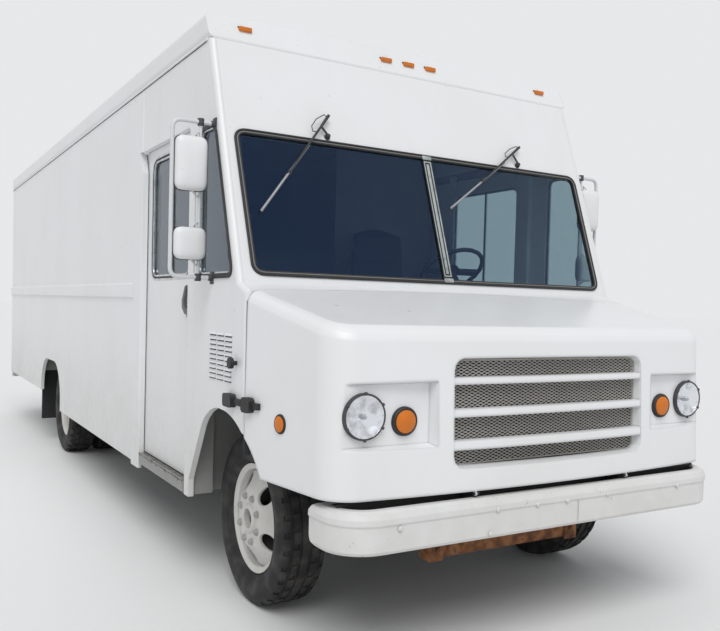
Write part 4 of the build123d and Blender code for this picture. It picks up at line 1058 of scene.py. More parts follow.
@dataclass
class Studio:
    """Camera at the photograph's place, with a pale floor and soft light."""

    camera_place: Colour = (-2.536, -6.849, 1.480)
    yaw: float = 31.82
    pitch: float = -1.9
    roll: float = 1.6
    focal_pixels: float = 810.2
    centre_pixel: tuple[float, float] = (386.3, 332.4)
    frame_pixels: tuple[int, int] = (720, 631)
    sun_direction: Point = (0.30, 0.52, -0.80)
    sun_strength: float = 1.7
    sun_spread: float = 40.0
    sky_colour: Colour = (0.93, 0.95, 0.98)
    sky_strength: float = 0.50
    backdrop_colour: Colour = (0.80, 0.81, 0.82)
    floor_colour: Colour = (0.86, 0.86, 0.855)
    floor_size: float = 400.0

    def build(self) -> None:
        """Makes the camera, the floor and the lights."""
        self.camera()
        self.floor()
        self.light()

    def camera(self) -> None:
        """Makes the camera and sets it as the scene's."""
        yaw, pitch, roll = (math.radians(angle) for angle in (self.yaw, self.pitch, self.roll))
        forward = Vector((math.sin(yaw) * math.cos(pitch), math.cos(yaw) * math.cos(pitch), math.sin(pitch)))
        right = forward.cross(Vector((0, 0, 1))).normalized()
        up = right.cross(forward)
        turned_right = right * math.cos(roll) + up * math.sin(roll)
        turned_up = up * math.cos(roll) - right * math.sin(roll)
        data = bpy.data.cameras.new("camera")
        width, height = self.frame_pixels
        data.sensor_width = 36.0
        data.lens = self.focal_pixels * data.sensor_width / width
        data.shift_x = (width / 2 - self.centre_pixel[0]) / width
        data.shift_y = (self.centre_pixel[1] - height / 2) / width
        camera = bpy.data.objects.new("camera", data)
        bpy.context.scene.collection.objects.link(camera)
        turn = Matrix((turned_right, turned_up, -forward)).transposed().to_4x4()
        camera.matrix_world = Matrix.Translation(self.camera_place) @ turn
        bpy.context.scene.camera = camera

    def floor(self) -> None:
        """Lays a pale floor that reaches past the view."""
        bpy.ops.mesh.primitive_plane_add(size=self.floor_size)
        floor = bpy.context.object
        floor.name = "floor_plane"
        bench = Bench("studio_floor")
        bench.set(Base_Color=self.floor_colour, Roughness=0.9)
        floor.data.materials.append(bench.material)

    def light(self) -> None:
        """Adds an even sky and one soft sun."""
        world = bpy.data.worlds.new("studio_world")
        bpy.context.scene.world = world
        world.use_nodes = True
        background = world.node_tree.nodes["Background"]
        background.inputs["Color"].default_value = (*self.sky_colour, 1)
        background.inputs["Strength"].default_value = self.sky_strength
        self.pale_backdrop(world, background)
        data = bpy.data.lights.new("soft_sun", "SUN")
        data.energy = self.sun_strength
        data.angle = math.radians(self.sun_spread)
        lamp = bpy.data.objects.new("soft_sun", data)
        bpy.context.scene.collection.objects.link(lamp)
        lamp.rotation_euler = Vector(self.sun_direction).to_track_quat("-Z", "Y").to_euler()
        bpy.context.scene.view_settings.view_transform = "Standard"

    def pale_backdrop(self, world: bpy.types.World, background: bpy.types.Node) -> None:
        """Shows the world as a pale grey to the camera, to mirrors and through glass.

        Args:
            world: The world.
            background: Its Background node, which lights the van.
        """
        nodes, links = world.node_tree.nodes, world.node_tree.links
        path = nodes.new("ShaderNodeLightPath")
        seen = path.outputs["Is Camera Ray"]
        for name in ("Is Glossy Ray", "Is Transmission Ray"):
            either = nodes.new("ShaderNodeMath")
            either.operation = "MAXIMUM"
            links.new(seen, either.inputs[0])
            links.new(path.outputs[name], either.inputs[1])
            seen = either.outputs[0]
        pale = nodes.new("ShaderNodeBackground")
        pale.inputs["Color"].default_value = (*self.backdrop_colour, 1)
        mixed = nodes.new("ShaderNodeMixShader")
        links.new(seen, mixed.inputs[0])
        links.new(background.outputs[0], mixed.inputs[1])
        links.new(pale.outputs[0], mixed.inputs[2])
        links.new(mixed.outputs[0], nodes["World Output"].inputs["Surface"])


@dataclass
class Tyres:
    """Six treaded tyres turned from one section, with blocks cut into the shoulders."""

    half_section: Sequence[Point] = (
        (0.2515, 0.0), (0.2515, 0.061), (0.262, 0.070), (0.2685, 0.079), (0.278, 0.091), (0.300, 0.1085),
        (0.3035, 0.1125), (0.309, 0.1135), (0.312, 0.1130), (0.334, 0.1195), (0.352, 0.1215),
        (0.372, 0.1195), (0.377, 0.1165), (0.392, 0.1120), (0.404, 0.1060), (0.412, 0.0980),
        (0.4155, 0.0800), (0.4080, 0.0770), (0.4080, 0.0650), (0.4162, 0.0620), (0.4168, 0.0330),
        (0.4085, 0.0300), (0.4085, 0.0200), (0.4170, 0.0170), (0.4170, 0.0))
    steps: int = 96

    def tyre(self) -> Piece:
        """Turns one tyre about the Z axis and cuts its tread."""
        other_half = [(radius, -height) for radius, height in reversed(self.half_section)]
        section = [*self.half_section, *other_half[1:-1]]
        tyre = Piece.lathe([*section, section[0]], steps=self.steps)

        def notch(centre: Vector, normal: Vector) -> bool:
            step = round((math.atan2(centre.y, centre.x) % math.tau) / math.tau * self.steps - 0.5)
            reach = math.hypot(centre.x, centre.y)
            shoulder = abs(centre.z) > 0.079 and reach > 0.402
            block = 0.033 < abs(centre.z) < 0.063 and reach > 0.412
            return (shoulder and step % 3 == 0) or (block and step % 3 == 1)

        tyre.pick(notch).inset(0.0004, -0.007)
        return tyre

    def build(self) -> None:
        """Makes the tyres and sets each on its wheel."""
        model = self.tyre()
        for name, side in SIDES:
            model.copied(wheel_frame(FRONT_WHEEL, side, side)).fit(
                f"treaded_front_tyre_{name}", f"front_wheel_{name}", Coat.TYRE, [f"front_tyre_{name}"], 28)
            Piece.joined(model.copied(wheel_frame(place, side, side * way))
                         for place, way in zip(REAR_WHEELS, (1, -1))).fit(
                f"treaded_rear_tyres_{name}", f"rear_wheels_{name}", Coat.TYRE, [f"rear_tyres_{name}"], 28)
        bpy.data.objects.remove(model.thing)


@dataclass
class Wheels:
    """White disc wheels with hand holes, nuts and hubs."""

    flange: float = 0.086
    bead: float = 0.250
    rim: float = 0.267
    studs: int = 8
    stud_circle: float = 0.1125
    holes: int = 5
    hole_radius: float = 0.044
    hole_circle: float = 0.186

    def barrel(self) -> list[Point]:
        """Outer side of the rim's section, from the outer flange to the inner one."""
        lip, bead, rim = self.flange, self.bead, self.rim
        return [(bead - 0.010, lip - 0.012), (rim - 0.006, lip - 0.004), (rim - 0.001, lip + 0.001),
                (rim, lip - 0.003), (rim - 0.004, lip - 0.008), (bead + 0.002, lip - 0.022),
                (bead, lip - 0.03), (bead - 0.014, 0.035), (bead - 0.014, -0.035), (bead, 0.03 - lip),
                (rim - 0.004, 0.008 - lip), (rim, 0.002 - lip), (rim - 0.006, 0.004 - lip),
                (bead - 0.010, 0.012 - lip)]

    def front(self) -> Piece:
        """Turns the front wheel, whose disc bulges outward, and cuts its hand holes."""
        disc = [(self.bead - 0.022, -0.030), (self.bead - 0.022, 0.026), (0.228, 0.038), (0.150, 0.090),
                (0.130, 0.100), (0.073, 0.100), (0.073, 0.112), (0.132, 0.112), (0.142, 0.108),
                (0.158, 0.101), (0.222, 0.060), (0.234, 0.050), (self.bead - 0.010, 0.040)]
        return self.bored(disc, 0.0, 0.20, 46)

    def rear(self) -> Piece:
        """Turns the outer rear wheel, whose disc is dished inward, and cuts its hand holes."""
        disc = [(self.bead - 0.022, -0.070), (0.228, -0.076), (0.170, -0.124), (0.158, -0.1395),
                (0.102, -0.1395), (0.102, -0.1285), (0.154, -0.1285), (0.164, -0.122), (0.222, -0.058),
                (self.bead - 0.014, -0.042)]
        return self.bored(disc, -0.20, 0.0, 20)

    def bored(self, disc: Sequence[Point], low: float, high: float, first: float) -> Piece:
        """Turns a wheel about the Z axis and cuts the hand holes through its disc.

        Args:
            disc: The disc's section, which closes the barrel's.
            low: Where the cut starts.
            high: Where it ends.
            first: Angle of the first hole, in degrees.

        Returns:
            The wheel.
        """
        wheel = Piece.lathe([*self.barrel(), *disc, self.barrel()[0]], steps=60)
        drill = Piece.rod((self.hole_circle, 0, low), (self.hole_circle, 0, high), self.hole_radius, sides=24)
        return wheel.cut(drill.repeated(round_axis(self.holes, first))).soften(0.002, 2, 40)

    def nuts(self, seat: float, lift: float) -> Piece:
        """Stud nuts on flanged washers.

        Args:
            seat: Height of the face that they sit on.
            lift: Height of a nut.

        Returns:
            The nuts.
        """
        out, top = self.stud_circle, seat + lift
        nut = Piece.rod((out, 0, seat), (out, 0, top), 0.0165, 0.0150, 6)
        washer = Piece.rod((out, 0, seat), (out, 0, seat + 0.004), 0.0185, sides=16)
        stud = Piece.rod((out, 0, top), (out, 0, top + 0.004), 0.0085, sides=10)
        group = Piece.joined([nut, washer, stud]).soften(0.001, 1)
        return group.repeated(round_axis(self.studs, 180 / self.studs))

    def front_hub(self) -> Piece:
        """White front hub round its open bore."""
        return Piece.lathe([(0.048, 0.080), (0.048, 0.1185), (0.051, 0.1215), (0.060, 0.1215), (0.064, 0.119),
                            (0.0725, 0.113), (0.0725, 0.080), (0.048, 0.080)], steps=40)

    def front_core(self) -> Piece:
        """Bearing cap with its pin in the front hub's bore, and the brake drum."""
        cap = Piece.lathe([(0.0, 0.100), (0.020, 0.099), (0.028, 0.094), (0.032, 0.082), (0.0485, 0.081),
                           (0.0485, 0.02), (0.0, 0.02)], steps=32)
        pin = Piece.box((-0.004, -0.022, 0.098), (0.004, 0.022, 0.104)).soften(0.001)
        drum = Piece.lathe([(0.074, 0.016), (0.178, 0.016), (0.186, 0.008), (0.186, -0.044), (0.074, -0.044),
                            (0.074, 0.016)], steps=40)
        return Piece.joined([cap, pin, drum])

    def rear_hub(self) -> Piece:
        """White rear hub that stands out of the dished disc."""
        return Piece.lathe([(0.0, 0.030), (0.052, 0.030), (0.060, 0.024), (0.062, -0.100), (0.072, -0.112),
                            (0.100, -0.116), (0.104, -0.122), (0.104, -0.196), (0.0, -0.196)], steps=40)

    def rear_core(self) -> Piece:
        """Axle shaft's flange with its bolts, and the brake drum."""
        plate = Piece.lathe([(0.0, 0.036), (0.010, 0.037), (0.014, 0.034), (0.046, 0.034), (0.049, 0.0295),
                             (0.0, 0.0295)], steps=40)
        bolt = Piece.rod((0.037, 0, 0.033), (0.037, 0, 0.042), 0.0085, sides=6)
        bolts = bolt.repeated(round_axis(8))
        drum = Piece.lathe([(0.103, -0.176), (0.184, -0.176), (0.192, -0.184), (0.192, -0.240),
                            (0.103, -0.240), (0.103, -0.176)], steps=40)
        return Piece.joined([plate, bolts, drum])

    def build(self) -> None:
        """Makes the wheels and sets them on their bodies."""
        models = {
            "disc_front": (self.front(), Coat.WHEEL), "hub_front": (self.front_hub(), Coat.WHEEL),
            "core_front": (self.front_core(), Coat.HUB), "nuts_front": (self.nuts(0.112, 0.015), Coat.NUT),
            "discs_rear": (self.rear(), Coat.WHEEL), "hub_rear": (self.rear_hub(), Coat.WHEEL),
            "core_rear": (self.rear_core(), Coat.HUB), "nuts_rear": (self.nuts(-0.1285, 0.020), Coat.NUT)}
        outer, inner = REAR_WHEELS
        for name, side in SIDES:
            rims = {"disc_front": f"front_rim_{name}", "discs_rear": f"rear_rims_{name}"}
            for key, (model, coat) in models.items():
                in_front = key.endswith("front")
                piece = model.copied(wheel_frame(FRONT_WHEEL if in_front else outer, side, side))
                if key == "discs_rear":
                    piece = Piece.joined([piece, model.copied(wheel_frame(inner, side, -side))])
                body = f"front_wheel_{name}" if in_front else f"rear_wheels_{name}"
                if key in rims:
                    piece.fit(f"{key}_{name}", body, coat, [rims[key]], 30)
                else:
                    piece.fit(f"{key}_{name}", body, coat)
        for model, _ in models.values():
            bpy.data.objects.remove(model.thing)


@dataclass
class Lamps:
    """Head lamps, amber turn and side lamps, red tail lamps and roof markers."""

    head_place: Point = (0.953, -4.143, 1.046)
    head_radius: float = 0.093
    amber_place: Point = (0.763, -4.143, 1.019)
    side_place: Point = (-3.793, 0.978)
    tail_place: Point = (0.960, 4.153)
    tail_heights: Sequence[float] = (1.000, 1.150)
    roof_places: Sequence[float] = (-0.990, -0.150, 0.0, 0.150, 0.990)

    def build(self) -> None:
        """Makes all the lamps."""
        self.head()
        self.turn()
        self.tail()
        self.roof()

    def head(self) -> None:
        """Round sealed lamps in black retaining rings with six tabs."""
        spot, r = facing(self.head_place, (0, -1, 0)), self.head_radius
        ring = Piece.lathe([(r - 0.008, 0.016), (r - 0.0065, 0.0225), (r - 0.002, 0.0225), (r, 0.018),
                            (r, 0.0), (r - 0.008, 0.0), (r - 0.008, 0.016)], spot, 56)
        tab = Piece.box((r - 0.009, -0.006, 0.014), (r + 0.005, 0.006, 0.0245)).soften(0.003)
        tabs = tab.repeated(round_axis(6, 30)).moved(spot)
        Piece.joined([ring, tabs]).both_sides().fit("headlamp_rings", "hood", Coat.CLAMP)
        bowl = Piece.lathe([(0.0, 0.002), (0.012, 0.0024), (0.040, 0.006), (0.064, 0.0115),
                            (r - 0.0075, 0.0190), (r - 0.0075, 0.0005), (0.0, 0.0005)], spot, 56)
        bowl.both_sides().fit("headlamp_bowls", "hood", Coat.BOWL, ["headlamps"])
        bulb = Piece.lathe([(0.0, 0.020), (0.008, 0.018), (0.011, 0.010), (0.011, 0.003), (0.0, 0.003)],
                           spot, 24)
        bulb.both_sides().fit("headlamp_bulbs", "hood", Coat.LENS)
        glass = Piece.lathe([(0.0, 0.0300), (0.030, 0.0290), (0.058, 0.0262), (r - 0.008, 0.0205),
                             (r - 0.008, 0.0185), (0.058, 0.0242), (0.030, 0.0270), (0.0, 0.0280)], spot, 56)
        glass.both_sides().fit("headlamp_lenses", "hood", Coat.CLEAR)

    def turn(self) -> None:
        """Amber domes in thick rubber rings beside the head lamps and on the hood's sides."""
        spot = facing(self.amber_place, (0, -1, 0))
        side_y, side_z = self.side_place
        lean = facing((hood_side_x(side_y, side_z) - 0.001, side_y, side_z), hood_side_normal())
        rings, domes = [], []
        sizes = ((spot, 0.060, 0.048, 0.018, 0.010), (lean, 0.042, 0.0345, 0.009, 0.008))
        for place, outer, lens, deep, proud in sizes:
            rings.append(Piece.lathe([(lens - 0.002, 0.0), (lens - 0.002, deep - 0.003), (lens + 0.003, deep),
                                      (outer - 0.006, deep - 0.001), (outer - 0.001, deep * 0.6),
                                      (outer, 0.0), (lens - 0.002, 0.0)], place, 48))
            top = deep + proud
            domes.append(Piece.lathe([(0.0, top), (lens * 0.35, top - 0.0006), (lens * 0.62, top - 0.0025),
                                      (lens * 0.84, top - 0.0065), (lens * 0.97, deep),
                                      (lens - 0.002, deep - 0.006), (lens - 0.002, 0.001),
                                      (0.0, 0.001)], place, 48))
        Piece.joined(rings).both_sides().fit("turn_lamp_rings", "hood", Coat.RUBBER)
        Piece.joined(domes).both_sides().fit("turn_lamp_lenses", "hood", Coat.AMBER, ["hood_lamps"])

    def tail(self) -> None:
        """Red round tail lamps in rubber rings."""
        rings, domes = [], []
        for height in self.tail_heights:
            spot = facing((*self.tail_place, height), (0, 1, 0))
            rings.append(Piece.lathe([(0.042, 0.0), (0.042, 0.012), (0.047, 0.0145), (0.053, 0.010),
                                      (0.055, 0.0), (0.042, 0.0)], spot, 40))
            domes.append(Piece.lathe([(0.0, 0.020), (0.018, 0.0195), (0.032, 0.0175), (0.041, 0.0125),
                                      (0.0425, 0.001), (0.0, 0.001)], spot, 40))
        Piece.joined(rings).both_sides().fit("tail_lamp_rings", "chassis", Coat.RUBBER)
        Piece.joined(domes).both_sides().fit("tail_lamp_lenses", "chassis", Coat.RED, ["tail_lamps"])

    def roof(self) -> None:
        """Amber marker lamps on the roof cap, each a soft-edged lens on a base."""
        low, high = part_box("roof_markers")
        front, back, bottom, top = low[1], high[1], low[2], high[2]
        lenses, bases = [], []
        for x in self.roof_places:
            lens = Piece.box((x - 0.034, front + 0.001, bottom + 0.003),
                             (x + 0.034, back - 0.004, top - 0.003))
            lenses.append(lens.pick(looks_forward).inset(0.006).soften(0.004, 3))
            base = Piece.box((x - 0.037, back - 0.006, bottom), (x + 0.037, back + 0.002, top))
            bases.append(base.soften(0.003))
        Piece.joined(lenses).fit("roof_marker_lenses", "chassis", Coat.AMBER, ["roof_markers"])
        Piece.joined(bases).fit("roof_marker_bases", "chassis", Coat.RUBBER)


@dataclass
class GrilleScreen:
    """Expanded-metal screen behind the grille bars, and plates that close the gaps beside the radiator."""

    half_width: float = 0.545
    low: float = 0.826
    high: float = 1.262
    place: float = -4.160
    long_pitch: float = 0.031
    short_pitch: float = 0.0140
    strand: float = 0.0052
    cells: int = 64
    wing: Sequence[Point] = ((0.421, -4.056, 0.700), (0.700, -4.040, 1.262))

    def build(self) -> None:
        """Makes the screen's diamonds and the plates."""
        Piece.rest()
        bpy.ops.mesh.primitive_grid_add(x_subdivisions=self.cells, y_subdivisions=self.cells, size=self.cells)
        screen = Piece.taken()
        screen.moved(Matrix.Rotation(math.radians(45), 4, "Z"))
        root = math.sqrt(2)
        screen.moved(Matrix.Diagonal((self.long_pitch / root, self.short_pitch / root, 1, 1)))
        bpy.ops.object.mode_set(mode="EDIT")
        middle = (self.low + self.high) / 2
        limits = (((self.half_width, 0, 0), (1, 0, 0)), ((-self.half_width, 0, 0), (-1, 0, 0)),
                  ((0, self.high - middle, 0), (0, 1, 0)), ((0, self.low - middle, 0), (0, -1, 0)))
        for spot, outward in limits:
            bpy.ops.mesh.select_all(action="SELECT")
            bpy.ops.mesh.bisect(plane_co=spot, plane_no=outward, clear_outer=True)
        screen.modify("WIREFRAME", thickness=self.strand, use_even_offset=False, use_boundary=True)
        screen.moved(Matrix.Translation((0, self.place, middle)) @ Matrix.Rotation(math.radians(90), 4, "X"))
        screen.fit("grille_screen", "hood", Coat.MESH, ["grille_mesh"], 50)
        wing = Piece.box(*self.wing).pick(looks_forward).inset(0.012, -0.006).soften(0.002)
        wing.both_sides().fit("radiator_wings", "chassis", Coat.FRAME)


@dataclass
class BumperBolts:
    """Bolt heads and a seam on the front bumper, and the brackets of the rusty crossmember."""

    face: float = -4.263
    places: Sequence[Point] = ((-0.842, 0.623), (-0.359, 0.645), (-0.139, 0.643), (0.037, 0.641),
                               (0.288, 0.645), (0.768, 0.640), (-0.396, 0.548))
    seam: Sequence[Point] = ((0.102, 0.545), (0.1045, 0.640))
    bracket_plate: Sequence[Point] = ((0.376, -3.912, 0.333), (0.452, -3.897, 0.520))
    bracket_flange: Sequence[Point] = ((0.440, -3.900, 0.333), (0.452, -3.830, 0.420))
    bracket_nut: Point = (0.410, -3.912, 0.385)

    def build(self) -> None:
        """Makes the bolt heads, the seam and the brackets."""
        head = [(0.0, 0.0048), (0.006, 0.0042), (0.0105, 0.0018), (0.0120, -0.0004), (0.0, -0.0004)]
        bolts = [Piece.lathe(head, facing((x, self.face, z), (0, -1, 0)), 20) for x, z in self.places]
        (left, low), (right, high) = self.seam
        bolts.append(Piece.box((left, self.face - 0.0006, low), (right, self.face + 0.001, high)))
        Piece.joined(bolts).fit("bumper_bolts", "chassis", Coat.BUMPER)
        sheets = [Piece.box(*corners).soften(0.003) for corners in (self.bracket_plate, self.bracket_flange)]
        nut = Piece.lathe([(0.0, 0.010), (0.011, 0.009), (0.013, 0.0), (0.0, -0.001)],
                          facing(self.bracket_nut, (0, -1, 0)), 6)
        Piece.joined([*sheets, nut]).both_sides().fit("crossmember_brackets", "chassis", Coat.RUST)


@dataclass
class Windshield:
    """Bright bead in the windshield's seal, the divider's cover with its clips, and the wipers."""

    corners: Sequence[Point] = ((-1.108, 1.602), (1.108, 1.602), (1.120, 2.312), (-1.120, 2.312))
    corner_radius: float = 0.055
    divider_height: float = 1.957
    # Each wiper's arm end, foot and its blade's two ends, as X and Z
    wiper_places: Sequence[Sequence[Point]] = (
        ((-0.594, 2.442), (-0.609, 2.334), (-0.726, 2.271), (-1.029, 1.906)),
        ((0.693, 2.441), (0.665, 2.334), (0.560, 2.335), (0.101, 2.019)))
    # Shares along a blade and how far its steel stands off the rubber there
    blade_steel: Sequence[Point] = ((0.02, 0.005), (0.2, 0.012), (0.35, 0.009), (0.45, 0.016), (0.6, 0.009),
                                    (0.8, 0.012), (0.98, 0.005))

    def place(self, x: float, z: float, lift: float) -> Vector:
        """Place on the raked front, lifted off it along its normal."""
        return Vector((x, rake_y(z), z)) + RAKE_NORMAL * lift

    def outline(self, inset: float, lift: float) -> list[Vector]:
        """Outline round the glass.

        Args:
            inset: How far it lies inside the opening.
            lift: How far it stands off the raked front.

        Returns:
            The outline's points.
        """
        corners = [self.place(x, z, lift) for x, z in grown(self.corners, -inset)]
        return rounded(corners, (self.corner_radius - inset) * 1.25, 6)

    def build(self) -> None:
        """Makes the bead, the divider and the wipers."""
        bead = Piece.tube(self.outline(0.0135, 0.0052), 0.0028, True)
        bead.fit("windshield_bead", "chassis", Coat.BEAD)
        outer = Piece.tube(self.outline(0.003, 0.0045), 0.0055, True)
        outer.fit("windshield_lip", "chassis", Coat.RUBBER)
        self.divider()
        self.wipers()

    def divider(self) -> None:
        """Covers the centre post with a grooved strip that two clips hold."""
        turn = facing((0, rake_y(self.divider_height), self.divider_height), RAKE_NORMAL)
        strip = Piece.box((-0.024, -0.338, 0.004), (0.024, 0.338, 0.0075))
        strip.pick(lambda centre, normal: normal.z > 0.5).inset(0.006).inset(0.001, -0.003)
        grooved = strip.inset(0.009).inset(0.001, 0.003).soften(0.0008)
        clips = [Piece.box((-0.029, middle - 0.012, 0.0035), (0.029, middle + 0.012, 0.0105)).soften(0.003)
                 for middle in (-0.360, 0.360)]
        Piece.joined([grooved, *clips]).moved(turn).fit("windshield_divider", "chassis", Coat.DIVIDER)

    def wipers(self) -> None:
        """Makes both wipers: base, link, arm, hose and sprung blade."""
        arms, blades = [], []
        out, left = RAKE_NORMAL, Vector((-1, 0, 0))
        for top, base, start, tip in self.wiper_places:
            end, foot = self.place(*top, 0.026), self.place(*base, 0.004)
            first, last = self.place(*start, 0.010), self.place(*tip, 0.006)
            hold = first.lerp(last, 0.45) + out * 0.014
            joint = end.lerp(hold, 0.20)
            hose = [end.lerp(joint, 0.2), end.lerp(joint, 0.1) + left * 0.028 + out * 0.010,
                    end.lerp(joint, 0.5) + left * 0.052 + out * 0.004, end.lerp(joint, 1.1) + left * 0.050,
                    end.lerp(joint, 1.5) + left * 0.026, joint.lerp(hold, 0.12)]
            clasp = Piece.box(hold - Vector((0.010, 0.007, 0.013)), hold + Vector((0.010, 0.005, 0.013)))
            arms += [Piece.rod(foot - out * 0.006, foot + out * 0.020, 0.017, 0.010, 16).soften(0.003),
                     Piece.rod(foot + out * 0.012, joint, 0.0065, 0.0055, 10),
                     Piece.rod(end, joint, 0.0085, 0.0075, 12).soften(0.002),
                     Piece.rod(joint, hold, 0.0065, 0.0048, 10), Piece.tube(hose, 0.0026),
                     clasp.soften(0.004)]
            steel = [first.lerp(last, share) + out * lift for share, lift in self.blade_steel]
            blades += [Piece.rod(first, last, 0.0070, sides=6), Piece.tube(steel, 0.0045)]
        Piece.joined(arms).fit("wiper_arms", "chassis", Coat.METAL, ["wipers"])
        Piece.joined(blades).fit("wiper_blades", "chassis", Coat.BLADE)


@dataclass
class WindowFrames:
    """Rubber and bright frames round the door, quarter and rear windows."""

    door: Sequence[Point] = ((-2.593, 1.610), (-1.881, 1.610), (-1.881, 2.312), (-2.593, 2.312))
    quarter: Sequence[Point] = ((-3.318, 1.603), (-2.848, 1.603), (-2.848, 2.332), (-3.055, 2.332))
    rear: Sequence[Point] = ((0.150, 1.70), (0.590, 1.70), (0.590, 2.14), (0.150, 2.14))
    rear_face: float = 4.150
    post: Sequence[Point] = ((1.1335, -2.250, 1.612), (1.1445, -2.228, 2.310))

    def on_side(self, side: int, x: float, corners: Sequence[Point], grow: float, radius: float,
                width: float, depth: float) -> Piece:
        """Frame round a window in the van's side.

        Args:
            side: -1 for the right, 1 for the left.
            x: Distance of its back from the middle.
            corners: The window's corners, as Y and Z.
            grow: How far the frame's outer line lies outside them.
            radius: Size of its corners.
            width: Its width.
            depth: How far it stands outward.

        Returns:
            The frame.
        """
        line = [(side * x, y, z) for y, z in grown(corners, grow)]
        return Piece.ring_of(rounded(line, (radius + grow) * 1.3, 6), width, (side * depth, 0, 0))

    def build(self) -> None:
        """Makes the frames and sets each on its door or body."""
        for name, side in SIDES:
            door_body = f"cab_door_{name}"
            Piece.joined([self.on_side(side, 1.1440, self.door, 0.020, 0.060, 0.013, 0.0050),
                          self.on_side(side, 1.1360, self.door, -0.003, 0.060, 0.012, 0.0110)]).fit(
                f"door_window_trim_{name}", door_body, Coat.ALLOY)
            self.on_side(side, 1.1420, self.door, 0.008, 0.060, 0.013, 0.0066).fit(
                f"door_window_rubber_{name}", door_body, Coat.RUBBER)
            Piece.box(*(sided(side, place) for place in self.post)).soften(0.002).fit(
                f"door_window_post_{name}", door_body, Coat.ALLOY)
            self.on_side(side, 1.180, self.quarter, 0.016, 0.045, 0.024, 0.009).fit(
                f"quarter_window_rubber_{name}", "chassis", Coat.RUBBER)
            self.on_side(side, 1.172, self.quarter, -0.006, 0.045, 0.010, 0.011).fit(
                f"quarter_window_trim_{name}", "chassis", Coat.ALLOY)
            rear = grown([sided(side, corner) for corner in self.rear], 0.014)
            line = [(x, self.rear_face, z) for x, z in rear]
            Piece.ring_of(rounded(line, 0.08, 6), 0.024, (0, 0.0085, 0)).fit(
                f"rear_window_rubber_{name}", f"rear_door_{name}", Coat.RUBBER)


